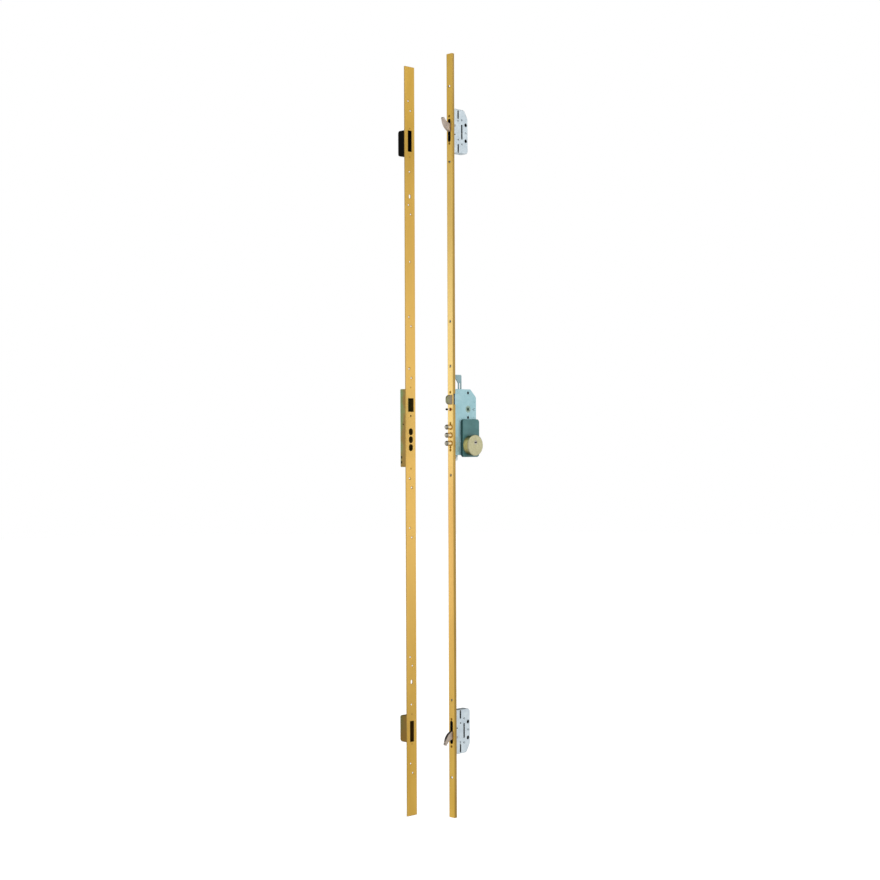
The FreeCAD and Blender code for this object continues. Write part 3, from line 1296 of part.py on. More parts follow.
def box_screw_heights():
    heights = []
    for low, high in (UPPER_BOX_Z, MIDDLE_BOX_Z, LOWER_BOX_Z):
        heights.append(low - BOX_LUG / 2)
        heights.append(high + BOX_LUG / 2)
    return heights


def keeper_box_screws():
    parts = []
    face = KEEPER_FRONT_Y
    for z in box_screw_heights():
        head_end = face + SINK_SLOPE * (BOX_SCREW_HEAD_R - BOX_SCREW_R)
        head = cone_y(BOX_SCREW_HEAD_R, BOX_SCREW_R, face, head_end, KEEPER_X, z)
        shank = rod_y(BOX_SCREW_R, face + 0.5, face + KEEPER_THICK + 2 * BOX_WALL, KEEPER_X, z)
        recess = box(KEEPER_X - 1.6, KEEPER_X + 1.6, face - 0.1, face + 0.8, z - 0.4, z + 0.4)
        parts.append(join([head, shank]).cut(recess))
    parts.append(keeper_lip_screw())
    return group(parts)


def lip_screw_place():
    return (KEEPER_X - KEEPER_LATCH_HALF + LIP_THICK + HOLE_GAP + 6.0, LATCH_Z)


def lip_back_y():
    return KEEPER_FRONT_Y + KEEPER_THICK + 10.0


def keeper_latch_lip():
    """An angle in the latch opening that sets how tightly the door closes."""
    x0 = KEEPER_X - KEEPER_LATCH_HALF + HOLE_GAP
    z0 = KEEPER_LATCH_LOW + HOLE_GAP
    z1 = KEEPER_LATCH_HIGH - HOLE_GAP
    back = lip_back_y()
    wall = box(x0, x0 + LIP_THICK, KEEPER_FRONT_Y, back, z0, z1)
    floor = box(x0, x0 + LIP_THICK + 10.5, back - LIP_THICK, back, z0, z1)
    seat_x, seat_z = lip_screw_place()
    return join([wall, floor]).cut(rod_y(BOX_SCREW_R + RUN_FIT, back - 5, back + 5, seat_x, seat_z))


def keeper_lip_screw():
    seat_x, seat_z = lip_screw_place()
    back = lip_back_y()
    head = rod_y(BOX_SCREW_HEAD_R, back - LIP_THICK - 2.0, back - LIP_THICK, seat_x, seat_z)
    shank = rod_y(BOX_SCREW_R, back - LIP_THICK, back + 6, seat_x, seat_z)
    head_face = back - LIP_THICK - 2.0
    recess = box(seat_x - 0.4, seat_x + 0.4, head_face - 0.1, head_face + 1.0, seat_z - 2, seat_z + 2)
    return join([head, shank]).cut(recess)


# Every piece by the name of its node
def build():
    parts = {
        "faceplate": faceplate(),
        "case_body": case_body(),
        "case_cover": case_cover(),
        "case_rivets": group([rivet(x, z) for x, z in CASE_RIVETS]),
        "case_screws": case_screws(),
        "cylinder_body": cylinder_body(),
        "driver_pins": driver_pins(),
        "cylinder_screw": cylinder_screw(),
        "outer_plug": outer_plug(),
        "inner_plug": inner_plug(),
        "key_pins": key_pins(),
        "cylinder_cam": cylinder_cam(),
        "drive_wheel": drive_wheel(),
        "bolt_pinion": bolt_pinion(),
        "rod_pinion": rod_pinion(),
        "wheel_axle": wheel_axle(),
        "bolt_carriage": bolt_carriage(),
        "carriage_pins": carriage_pins(),
        "latch_bolt": latch_bolt(),
        "latch_tail": latch_tail(),
        "latch_spring": latch_spring(),
        "follower": follower(),
        "follower_spring": follower_spring(),
        "trigger_pin": trigger_pin(),
        "trigger_tip": trigger_tip(),
        "trigger_spring": trigger_spring(),
        "upper_link": upper_link(),
        "upper_rod": upper_rod(),
        "lower_link": lower_link(),
        "lower_rod": lower_rod(),
        "armour_plate": armour_plate(),
        "armour_screws": armour_screws(),
        "escutcheon_base": escutcheon_base(),
        "escutcheon_disc": escutcheon_disc(),
        "escutcheon_screws": escutcheon_screws(),
    }
    keeper_pieces = {
        "plate": keeper_plate(),
        "upper_box": keeper_upper_box(),
        "middle_box": keeper_middle_box(),
        "lower_box": keeper_lower_box(),
        "box_screws": keeper_box_screws(),
        "latch_lip": keeper_latch_lip(),
    }
    for name, shape in keeper_pieces.items():
        shape.translate(V(0, 0, -KEEPER_DROP))
        parts["keeper_" + name] = shape
    for name, z in zip(("top", "middle", "bottom"), bolt_heights()):
        parts[name + "_bolt"] = deadbolt(z)
    hook_pieces = {
        "case_body": hook_case_body(),
        "case_cover": hook_case_cover(),
        "case_rivets": hook_rivets(),
        "pivot": hook_pivot(),
        "claw": hook(),
        "slide": hook_slide(),
        "guide_pins": guide_pins(),
    }
    for name, shape in hook_pieces.items():
        parts["upper_hook_" + name] = shape
        parts["lower_hook_" + name] = mirrored(shape)
    return parts


def export(parts):
    os.makedirs("parts", exist_ok=True)
    for name, shape in parts.items():
        shape.exportStep("parts/" + name + ".step")


export(build())
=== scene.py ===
import bpy
import bmesh
import json
import math
from mathutils import Matrix, Vector


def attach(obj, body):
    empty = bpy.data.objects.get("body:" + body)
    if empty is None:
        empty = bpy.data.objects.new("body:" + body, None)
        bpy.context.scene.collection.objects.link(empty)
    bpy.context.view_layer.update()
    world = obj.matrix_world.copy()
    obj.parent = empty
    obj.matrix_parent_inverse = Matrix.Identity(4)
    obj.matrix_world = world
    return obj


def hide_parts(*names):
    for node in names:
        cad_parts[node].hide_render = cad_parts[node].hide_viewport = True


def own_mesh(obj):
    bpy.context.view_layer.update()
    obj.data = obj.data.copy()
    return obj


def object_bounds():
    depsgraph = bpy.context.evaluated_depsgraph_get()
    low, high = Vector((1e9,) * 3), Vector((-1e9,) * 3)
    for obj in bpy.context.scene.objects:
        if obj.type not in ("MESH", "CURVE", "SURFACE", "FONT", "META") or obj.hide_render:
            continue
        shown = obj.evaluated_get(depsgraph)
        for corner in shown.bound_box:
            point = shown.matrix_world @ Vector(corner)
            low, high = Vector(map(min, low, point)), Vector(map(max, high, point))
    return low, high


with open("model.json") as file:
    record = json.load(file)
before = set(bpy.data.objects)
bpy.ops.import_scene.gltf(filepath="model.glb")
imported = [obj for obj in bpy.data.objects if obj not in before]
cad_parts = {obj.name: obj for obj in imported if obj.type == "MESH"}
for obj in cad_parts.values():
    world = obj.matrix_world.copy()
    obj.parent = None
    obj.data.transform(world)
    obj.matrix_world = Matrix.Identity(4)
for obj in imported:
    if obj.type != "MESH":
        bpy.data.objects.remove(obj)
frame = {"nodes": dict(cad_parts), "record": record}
cad_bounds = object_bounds()

MM = 0.001
SLOT_OF = {part["node"]: part["material_slot"] for part in frame["record"]["subparts"]}

# Nodes that look different from the others of their slot
UNLIKE_ITS_SLOT = {
    # The lower link is a lit copy of the zinc links: a painted highlight makes it nearly white
    "lower_link": "highlit_zinc",
    # The latch tail, seen through the window in the case, has painted shade in dark olive
    "latch_tail": "latch_tail_in_shade",
    "trigger_pin": "shank_in_painted_light",
    "keeper_box_screws": "gilt_screws",
    # The guide pins take the darker sintered steel, which paints the shade inside the hook cases
    "upper_hook_guide_pins": "sintered_steel",
    "lower_hook_guide_pins": "sintered_steel",
    # The hook case covers have painted shade on their inner side
    "upper_hook_case_cover": "cover_shaded_inside",
    "lower_hook_case_cover": "cover_shaded_inside"}

# Places on the part that its materials keep to, in mm
HOOK_SLOTS_BEYOND = 770.0       # up and down from the middle of the faceplate
SLOT_HALF_WIDTH = 10.0          # either side of the middle of the faceplate's face
CASE_FRONT = (8.5, 10.5)        # along x, round the front of the lock case
HOOK_CASE_CUTS = (14.0, 58.0)   # along x, round the slots and holes of the hook cases

# Small tubes, in mm: where they stand, their two ends, and their inner and outer radius
SLEEVE_HEIGHTS = {"upper_hook_case_body": (877.7, 833.7), "lower_hook_case_body": (-816.7, -772.7)}
SLEEVE_DEPTH = 55.0
SLEEVE_ENDS, SLEEVE_RADII = (-7.4, 7.4), (4.65, 5.2)
TRIGGER_AXIS = (0.0, 91.0)
BUSH_ENDS, BUSH_RADII = (0.1, 2.4), (3.05, 4.1)
COLLAR_ENDS, COLLAR_RADII = (-0.5, -0.02), (3.3, 4.9)

# How finely round pieces are made
TUBE_SIDES = 64
WIRE_SIDES = 8
STEPS_A_TURN = 24

# A noise texture gives values that mostly lie between these
NOISE_LOW, NOISE_HIGH = 0.3, 0.7

# View: level, from the outside of the door, 44 degrees round from straight on to it
IMAGE_SIZE = 880
FOCAL_PIXELS = 1637.0
VIEW_AZIMUTH = math.radians(43.8)
VIEW_DISTANCE = 4.5
VIEW_HEIGHT = 6.9 * MM
VIEW_ASIDE = 28.6 * MM
VIEW_ROLL = math.radians(-0.22)
SENSOR = 36.0

# Surroundings: what the metal mirrors is darker up behind the lock, and on the floor behind it
WORLD_STRENGTH = 0.8
DARK_SIDE = (0.35, 0.6, 0.72)
DARK_CLOTH = (0.45, 1.25, cad_bounds[0].z)
FLOOR_RADIUS = 14.0


def low_side(node, axis):
    return min(corner[axis] for corner in frame["nodes"][node].bound_box)


def high_side(node, axis):
    return max(corner[axis] for corner in frame["nodes"][node].bound_box)


def linear(colour):
    """An sRGB hex colour as linear red, green, blue and alpha."""
    values = []
    for start in (0, 2, 4):
        share = int(colour[start:start + 2], 16) / 255
        values.append(share / 12.92 if share <= 0.04045 else ((share + 0.055) / 1.055) ** 2.4)
    return (*values, 1.0)


# Shader nodes
def add(tree, kind, sockets=None, **settings):
    """Adds a node with its settings. A socket's value is a number, a colour or another's output."""
    made = tree.nodes.new(kind)
    for name, value in settings.items():
        setattr(made, name, value)
    for name, value in (sockets or {}).items():
        if isinstance(value, bpy.types.NodeSocket):
            tree.links.new(value, made.inputs[name])
        else:
            made.inputs[name].default_value = value
    return made


def start_material(name):
    material = bpy.data.materials.new(name)
    material.use_nodes = True
    tree = material.node_tree
    tree.nodes.clear()
    place = add(tree, "ShaderNodeTexCoord").outputs["Object"]
    return material, tree, place


def finished(material, tree, sockets):
    surface = add(tree, "ShaderNodeBsdfPrincipled", sockets)
    add(tree, "ShaderNodeOutputMaterial", {"Surface": surface.outputs["BSDF"]})
    return material


def part_of(tree, vector, axis):
    return add(tree, "ShaderNodeSeparateXYZ", {"Vector": vector}).outputs[axis]


def calculated(tree, operation, *values):
    made = add(tree, "ShaderNodeMath", dict(enumerate(values)), operation=operation)
    return made.outputs["Value"]


def mapped(tree, value, start, end, first=0.0, last=1.0, **settings):
    """Maps a value onto first where it is start and onto last where it is end, and no further."""
    sockets = {"Value": value, "From Min": start, "From Max": end, "To Min": first, "To Max": last}
    return add(tree, "ShaderNodeMapRange", sockets, **settings).outputs["Result"]


def stretched(tree, place, *sizes_mm):
    """Coordinates in which a noise of scale 1 has this grain along x, y and z."""
    scale = tuple(1 / (size * MM) for size in sizes_mm)
    return add(tree, "ShaderNodeMapping", {"Vector": place, "Scale": scale}).outputs["Vector"]


def noise(tree, place, scale, detail, roughness=0.55):
    sockets = {"Vector": place, "Scale": scale, "Detail": detail, "Roughness": roughness}
    return add(tree, "ShaderNodeTexNoise", sockets).outputs["Fac"]


def spread(tree, value, low, high):
    """Maps a noise value onto the range low to high."""
    return mapped(tree, value, NOISE_LOW, NOISE_HIGH, low, high)


def ramp(tree, value, low_colour, high_colour, low=NOISE_LOW, high=NOISE_HIGH):
    """Runs from one hex colour to another while the value goes from low to high."""
    made = add(tree, "ShaderNodeValToRGB", {"Fac": value})
    made.color_ramp.elements[0].position = low
    made.color_ramp.elements[0].color = linear(low_colour)
    made.color_ramp.elements[1].position = high
    made.color_ramp.elements[1].color = linear(high_colour)
    return made.outputs["Color"]


def blended(tree, share, first, second):
    """The first colour where the share is 0, and the second where it is 1."""
    mix = add(tree, "ShaderNodeMix", {0: share, 6: first, 7: second}, data_type="RGBA")
    return mix.outputs[2]


def bumped(tree, height, strength, depth_mm):
    sockets = {"Height": height, "Strength": strength, "Distance": depth_mm * MM}
    return add(tree, "ShaderNodeBump", sockets).outputs["Normal"]


def shaded(tree, colour, reach_mm, darkest="0d0a07", full_at=0.5):
    """Paints shade into a colour: darkens it in holes, inside the cases and next to other parts,
    where shade falls. The colour is unshaded where at least full_at of what is within reach is
    open."""
    sockets = {"Distance": reach_mm * MM}
    openness = add(tree, "ShaderNodeAmbientOcclusion", sockets, samples=8).outputs["AO"]
    return blended(tree, mapped(tree, openness, 0.12, full_at), linear(darkest), colour)


# Masks, which are 1 where their docstring says and 0 elsewhere
def turned(tree, axis, start, end):
    """Where a face's normal along the axis is end. It is 0 where the normal is start."""
    normal = add(tree, "ShaderNodeTexCoord").outputs["Normal"]
    return mapped(tree, part_of(tree, normal, axis), start, end)


def up_or_down(tree, start, end):
    """On faces turned up or down."""
    return calculated(tree, "ADD", turned(tree, "Z", start, end), turned(tree, "Z", -start, -end))


def between(tree, place, axis, low_mm, high_mm):
    """Between two planes across an axis."""
    along = part_of(tree, place, axis)
    above = calculated(tree, "GREATER_THAN", along, low_mm * MM)
    below = calculated(tree, "LESS_THAN", along, high_mm * MM)
    return both(tree, above, below)


def both(tree, first, second):
    """Where both masks are 1."""
    return calculated(tree, "MULTIPLY", first, second)


def edge_wear_and_shade(tree, radius_mm):
    """Along outer and inner edges, from how far rounding them would turn the surface."""
    rounded = add(tree, "ShaderNodeBevel", {"Radius": radius_mm * MM}, samples=6).outputs["Normal"]
    true_normal = add(tree, "ShaderNodeNewGeometry").outputs["Normal"]
    dot = add(tree, "ShaderNodeVectorMath", {0: rounded, 1: true_normal}, operation="DOT_PRODUCT")
    return mapped(tree, dot.outputs["Value"], 0.98, 0.8)


# Materials
def gold_plated_strip(name, light, deep, pale, warm, is_faceplate):
    """Rolled steel strip, brushed lengthwise and gold plated: satin, warm, with long fine streaks.
    A painted highlight makes it paler along the middle of its length, pale above and warm below,
    and painted shade makes the sides duller and browner than the face.
    The faceplate's face looks along x, the keeper's along y."""
    material, tree, place = start_material(name)
    streaks = noise(tree, stretched(tree, place, 0.35, 0.35, 40.0), 1.0, 2.0)
    tone = noise(tree, stretched(tree, place, 30.0, 30.0, 210.0), 1.0, 2.0)
    height = part_of(tree, place, "Z")
    from_middle = calculated(tree, "ABSOLUTE", height)
    # Painted highlight along the middle of the length: the pale colour above, the warm one below
    middle = mapped(tree, from_middle, 350 * MM, 900 * MM, 0.7, 0.0)
    lower = mapped(tree, height, 60 * MM, -160 * MM)
    face = blended(tree, 0.35, ramp(tree, tone, deep, light), ramp(tree, streaks, deep, light))
    face = blended(tree, middle, face, blended(tree, lower, linear(pale), linear(warm)))
    # Painted shade: the sides, which look away from the face, are duller and browner
    on_face = turned(tree, "X" if is_faceplate else "Y", -0.25, -0.75)
    colour = blended(tree, on_face, ramp(tree, tone, "a5843c", "c09b4c"), face)
    if is_faceplate:
        # Painted shade on the walls of the two hook slots
        in_slot = between(tree, place, "Y", -SLOT_HALF_WIDTH, SLOT_HALF_WIDTH)
        slot_shade = both(tree, turned(tree, "Y", -0.2, -0.7), in_slot)
        far = calculated(tree, "GREATER_THAN", from_middle, HOOK_SLOTS_BEYOND * MM)
        colour = blended(tree, both(tree, slot_shade, far), colour, linear("2e1a06"))
    return finished(material, tree, {
        "Base Color": shaded(tree, colour, 20.0, "3a1c04"), "Metallic": 1.0,
        "Roughness": spread(tree, streaks, 0.30, 0.42), "Anisotropic": 0.3,
        "Coat Weight": 0.25, "Coat Roughness": 0.18, "Normal": bumped(tree, streaks, 0.15, 0.01)})


def zinc_plated_sheet(name, light, blue, dark_mm=40.0, full_at=0.5, inside_shade=None, slot_shade=None,
                      front=None):
    """Pressed steel sheet, zinc plated and blue passivated: a cool satin with faint clouds and
    rolling marks, and bright edges. Options, each a colour: one for painted shade on the inner side
    of a cover that closes the case; one for painted shade round a hook case's slots and holes,
    which then has no bright edges; front, for the side of a case that is in the shade of the
    faceplate."""
    material, tree, place = start_material(name)
    clouds = noise(tree, place, 45.0, 4.0)
    rolling = noise(tree, stretched(tree, place, 0.6, 0.6, 18.0), 1.0, 2.0)
    grain = noise(tree, place, 1400.0, 2.0)
    colour = ramp(tree, clouds, blue, light, high=0.72)
    colour = blended(tree, spread(tree, rolling, 0.0, 0.18), colour, linear(blue))
    if inside_shade:
        # Painted shade on the inner side of a cover, the side that looks into the case
        colour = blended(tree, turned(tree, "Y", -0.3, -0.8), colour, linear(inside_shade))
    if front:
        at_front = between(tree, place, "X", *CASE_FRONT)
        at_front = both(tree, turned(tree, "X", -0.3, -0.8), at_front)
        colour = blended(tree, at_front, colour, linear(front))
    if slot_shade:
        # Painted shade round the slots and holes of a hook case: on their edges, and on faces there
        # that look along -x
        edges = calculated(tree, "MAXIMUM", turned(tree, "X", -0.1, -0.5), edge_wear_and_shade(tree, 2.6))
        cuts = both(tree, edges, between(tree, place, "X", *HOOK_CASE_CUTS))
        colour = blended(tree, cuts, colour, linear(slot_shade))
    else:
        colour = blended(tree, edge_wear_and_shade(tree, 0.3), colour, linear("eef6f8"))
    return finished(material, tree, {
        "Base Color": shaded(tree, colour, dark_mm, "1c1008", full_at), "Metallic": 0.5,
        "Roughness": spread(tree, clouds, 0.4, 0.55), "Normal": bumped(tree, grain, 0.2, 0.03)})


def cast_metal(name, light, dark, grain_mm, dark_mm=12.0, darkest="0d0a07", metallic=0.9,
               shade_on_top=None, towards_faceplate=None):
    """Sintered or cast steel with a dull plating: an even speckle of pores and worn high spots.
    Options, each a colour: one for painted shade on the faces of a hook that look up; one for the
    part of the latch towards the faceplate, which is paler and pinker there."""
    material, tree, place = start_material(name)
    pores = noise(tree, place, 1 / (grain_mm * MM), 3.0, 0.65)
    patches = noise(tree, place, 90.0, 3.0)
    speckle = ramp(tree, pores, dark, light, 0.32, 0.68)
    colour = blended(tree, 0.5, speckle, ramp(tree, patches, dark, light))
    colour = blended(tree, edge_wear_and_shade(tree, 0.4), colour, linear(light))
    if towards_faceplate:
        # Paler and pinker towards the faceplate
        near = mapped(tree, part_of(tree, place, "X"), -9 * MM, -1 * MM, 0.0, 0.7)
        colour = blended(tree, near, colour, linear(towards_faceplate))
    if shade_on_top:
        # Painted shade on faces that look up
        colour = blended(tree, turned(tree, "Z", 0.1, 0.4), colour, linear(shade_on_top))
    return finished(material, tree, {
        "Base Color": shaded(tree, colour, dark_mm, darkest), "Metallic": metallic,
        "Roughness": spread(tree, pores, 0.42, 0.6), "Normal": bumped(tree, pores, 0.35, 0.05)})


def turned_metal(name, light, dark, rough, metallic=1.0, crevice_mm=12.0, shade_above_below=None):
    """Metal turned on a lathe or drawn as wire: smooth, with fine tool rings and a few handling
    marks. Given a colour for shade above and below, it has that painted shade on faces that look
    up or down."""
    material, tree, place = start_material(name)
    rings = noise(tree, place, 900.0, 2.0)
    marks = noise(tree, place, 160.0, 5.0, 0.7)
    colour = ramp(tree, marks, dark, light)
    if shade_above_below:
        # Painted shade on faces that look up or down
        colour = blended(tree, up_or_down(tree, 0.45, 0.85), colour, linear(shade_above_below))
    return finished(material, tree, {
        "Base Color": shaded(tree, colour, crevice_mm), "Metallic": metallic,
        "Roughness": spread(tree, rings, rough, rough + 0.1),
        "Normal": bumped(tree, rings, 0.08, 0.01)})


def polished_chrome(name, tip, nose_mm):
    """Hard chrome on turned steel: nearly a mirror, with hairline scratches round it. Its warm
    cream tint is a painted reflection of the gold faceplate, and its grey nose, darker above and
    below, is painted reflection too."""
    material, tree, place = start_material(name)
    scratches = noise(tree, stretched(tree, place, 0.25, 9.0, 9.0), 1.0, 2.0)
    # Painted reflection on the nose: grey, darker above and below
    nose_reflection = ramp(tree, scratches, "7e7c6e", "b0ada0")
    nose_reflection = blended(tree, up_or_down(tree, 0.35, 0.75), nose_reflection, linear("3a392f"))
    # Painted reflection of the gold faceplate in the warm cream chrome
    chrome = ramp(tree, scratches, "dcc294", "f4dcae")
    nose_end = tip + nose_mm * MM
    chromed = mapped(tree, part_of(tree, place, "X"), nose_end - 1 * MM, nose_end)
    return finished(material, tree, {
        "Base Color": shaded(tree, blended(tree, chromed, nose_reflection, chrome), 5.0), "Metallic": 1.0,
        "Roughness": spread(tree, scratches, 0.06, 0.14),
        "Normal": bumped(tree, scratches, 0.06, 0.01)})


def powder_paint(name, light, dark, side):
    """Powder-coated steel: an even satin skin with fine orange peel, slightly worn along the
    edges, with painted shade on the side that looks towards the faceplate, and painted shadow and
    reflection, tinted olive, next to other parts such as the escutcheon."""
    material, tree, place = start_material(name)
    peel = noise(tree, place, 700.0, 2.0)
    clouds = noise(tree, place, 40.0, 3.0)
    colour = ramp(tree, clouds, dark, light)
    colour = blended(tree, edge_wear_and_shade(tree, 0.4), colour, linear("7fa3a3"))
    # Painted shade on the side that looks towards the faceplate
    colour = blended(tree, turned(tree, "X", -0.25, -0.75), colour, linear(side))
    return finished(material, tree, {
        "Base Color": shaded(tree, colour, 14.0, "2c3f2c", 0.85), "Specular IOR Level": 0.3,
        "Roughness": spread(tree, peel, 0.26, 0.36), "Coat Weight": 0.1, "Coat Roughness": 0.12,
        "Normal": bumped(tree, peel, 0.12, 0.02)})


def moulded_plastic(name, light, dark):
    """Injection-moulded nylon, black: dull, with a fine spark-eroded grain."""
    material, tree, place = start_material(name)
    grain = noise(tree, place, 1 / (0.4 * MM), 2.0)
    return finished(material, tree, {
        "Base Color": ramp(tree, grain, dark, light), "Metallic": 0.0, "IOR": 1.53,
        "Specular IOR Level": 0.04, "Roughness": spread(tree, grain, 0.55, 0.7),
        "Normal": bumped(tree, grain, 0.3, 0.04)})


def shank_in_painted_light(name, end, neck_mm):
    """The trigger's shank in painted light: brown for painted shade and reflection of the gold
    faceplate, with a bright painted highlight on the neck behind the black tip.
    """
    material, tree, place = start_material(name)
    rings = noise(tree, place, 900.0, 2.0)
    neck = between(tree, place, "X", end / MM - 1.0, end / MM + neck_mm)
    # Painted highlight on the neck; painted shade and reflection on the rest of the shank
    colour = blended(tree, neck, ramp(tree, rings, "8a5328", "b87a45"), linear("efe6d2"))
    return finished(material, tree, {
        "Base Color": colour, "Metallic": 0.3, "Roughness": spread(tree, rings, 0.35, 0.5),
        "Normal": bumped(tree, rings, 0.1, 0.01)})


def olive_passivated(name, light, green, edge, node):
    """Zinc-plated steel passivated olive: drab gold-green with rainbow clouds and brown stains,
    greener towards the top and the back of its node."""
    material, tree, place = start_material(name)
    clouds = noise(tree, place, 28.0, 4.0)
    spots = noise(tree, place, 240.0, 5.0, 0.7)
    height, rear = part_of(tree, place, "Z"), high_side(node, 1)
    rise = mapped(tree, height, low_side(node, 2), high_side(node, 2), 0.2, -0.14)
    behind = mapped(tree, part_of(tree, place, "Y"), rear - 16 * MM, rear, 0.16, -0.14)
    tint = calculated(tree, "ADD", spread(tree, clouds, 0.32, 0.68), rise)
    tint = calculated(tree, "ADD", tint, behind)
    colour = ramp(tree, tint, green, light, 0.32, 0.68)
    stain = mapped(tree, spots, 0.58, 0.72, 0.0, 0.6)
    colour = blended(tree, stain, colour, linear("6b4a22"))
    colour = blended(tree, edge_wear_and_shade(tree, 0.8), colour, linear(edge))
    return finished(material, tree, {
        "Base Color": shaded(tree, colour, 20.0), "Metallic": 0.7,
        "Roughness": spread(tree, clouds, 0.36, 0.5), "Normal": bumped(tree, spots, 0.12, 0.03)})


def make_materials():
    """Each material slot's material, or a material for each of its nodes. The keys that aren't
    slots are the materials of UNLIKE_ITS_SLOT and of the small pieces."""
    return {
        "satin_gold_steel": {
            # The last two colours of each strip are its painted highlight, above and below the
            # middle
            "faceplate": gold_plated_strip(
                "gold_plated_faceplate", "efc863", "dfb246", "f8da90", "e3b56b", is_faceplate=True),
            "keeper_plate": gold_plated_strip(
                "gold_plated_keeper", "e4ba58", "d3a743", "efc36c", "efc36c", is_faceplate=False)},
        "blue_zinc_steel": zinc_plated_sheet(
            "blue_zinc_plated_sheet", "b8dce3", "9bc6cd", 22.0, 0.42, front="6e6524"),
        # The hook cases have painted shade round their slots and holes
        "hook_case_zinc": zinc_plated_sheet(
            "pale_zinc_plated_sheet", "e6f1f6", "c8d6df", full_at=0.8, slot_shade="222826"),
        # Hook case covers, with painted shade on their inner side
        "cover_shaded_inside": zinc_plated_sheet(
            "zinc_plated_cover_shaded_inside", "dde9ef", "bfcfd9", full_at=0.85, inside_shade="151813"),
        "zinc_links": zinc_plated_sheet("zinc_plated_links", "a6c2c6", "86a5aa"),
        # A painted highlight: the lower link in a nearly white copy of the zinc links
        "highlit_zinc": zinc_plated_sheet("zinc_link_painted_highlight", "f1f7f9", "d5dfe2"),
        "brassed_screws": turned_metal("brassed_screws", "b98a2e", "6b4a12", 0.3),
        "gilt_screws": turned_metal("gilt_screws", "dcb25a", "b98d3c", 0.3, crevice_mm=1.5),
        "cylinder_brass": turned_metal("machined_brass", "cdb267", "a58a45", 0.24, crevice_mm=6.0),
        "nickel_brass": turned_metal(
            "nickel_plated_brass", "b9b4ac", "98938a", 0.3, crevice_mm=6.0),
        "bronze": turned_metal("phosphor_bronze", "c98a52", "a1663a", 0.4, crevice_mm=0.5),
        "bright_steel": turned_metal(
            "bright_turned_steel", "c9ccd0", "9ea2a6", 0.22, crevice_mm=30.0),
        "spring_steel": turned_metal("spring_wire", "a9adb2", "70747a", 0.25),
        "escutcheon_brass": turned_metal(
            "satin_brass", "fbe39a", "dcc676", 0.4, 0.7, shade_above_below="5a6844"),
        "escutcheon_nickel": turned_metal("satin_nickel_on_brass", "c7c39d", "b3ae8a", 0.32),
        "chromed_bolts": polished_chrome("polished_chrome", low_side("top_bolt", 0), 5.0),
        # Its painted shade reaches 40 mm, so that what is seen through the hook cases' slots is
        # dark
        "sintered_steel": cast_metal("sintered_steel", "74726c", "4a4945", 0.8, 40.0),
        # Painted shade for the latch tail seen through the case window
        "latch_tail_in_shade": cast_metal("latch_tail_in_shade", "6c6e4c", "45472e", 0.8),
        "sintered_latch": cast_metal(
            "dull_nickelled_latch", "b3b490", "6f7055", 1.6, towards_faceplate="b09a8e"),
        "hook_steel": cast_metal(
            "dull_nickelled_hook", "d8cabd", "a3958a", 1.2, shade_on_top="4c4a47"),
        "follower_brass": cast_metal(
            "die_cast_brass", "a9c2b4", "7f9a8c", 0.9, 8.0, "64785a", metallic=0.5),
        "shank_in_painted_light": shank_in_painted_light("trigger_shank_painted_light", low_side("trigger_pin", 0), 7.0),
        "black_plastic": moulded_plastic("moulded_black_nylon", "12110e", "070605"),
        # The last colour is the painted shade of the side that looks towards the faceplate
        "armour_paint": powder_paint("teal_powder_coat", "578888", "487777", "214d4e"),
        "olive_passivated": {
            "keeper_lower_box": olive_passivated(
                "brown_passivated_box", "93712f", "74713a", "565a30", "keeper_lower_box"),
            "keeper_middle_box": olive_passivated(
                "olive_passivated_box", "9b7d40", "7d9560", "7d9560", "keeper_middle_box"),
            "keeper_latch_lip": olive_passivated(
                "olive_passivated_lip", "9b7d40", "7d9560", "7d9560", "keeper_latch_lip")},
    }


def dress_cad_nodes(materials):
    for node, piece in frame["nodes"].items():
        chosen = materials[UNLIKE_ITS_SLOT.get(node, SLOT_OF[node])]
        if isinstance(chosen, dict):
            chosen = chosen[node]
        piece.data.materials.clear()
        piece.data.materials.append(chosen)


# Pieces made here
def skin(mesh, rings):
    """Joins each ring of points to the next one with four-sided faces."""
    for ring, following in zip(rings, rings[1:]):
        for step in range(len(ring)):
            after = (step + 1) % len(ring)
            mesh.faces.new((ring[step], ring[after], following[after], following[step]))


def make_object(name, mesh, material):
    data = bpy.data.meshes.new(name)
    mesh.to_mesh(data)
    mesh.free()
    piece = bpy.data.objects.new(name, data)
    bpy.context.scene.collection.objects.link(piece)
    data.materials.append(material)
    return piece


def tube(name, body, material, axis, ends, centre, radii):
    """A plain tube along x or y with square ends, in mm: four rings, joined round in a loop.
    The centre is y and z for a tube along x, and x and z for one along y."""
    mesh = bmesh.new()
    (start, end), (inner, outer) = ends, radii
    rings = []
    for radius, along in ((inner, start), (outer, start), (outer, end), (inner, end)):
        ring = []
        for step in range(TUBE_SIDES):
            turn = 2 * math.pi * step / TUBE_SIDES
            across = centre[0] + radius * math.cos(turn)
            up = centre[1] + radius * math.sin(turn)
            point = (along, across, up) if axis == "x" else (across, along, up)
            ring.append(mesh.verts.new([v * MM for v in point]))
        rings.append(ring)
    skin(mesh, rings + rings[:1])
    bmesh.ops.recalc_face_normals(mesh, faces=mesh.faces)
    piece = make_object(name, mesh, material)
    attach(piece, body)


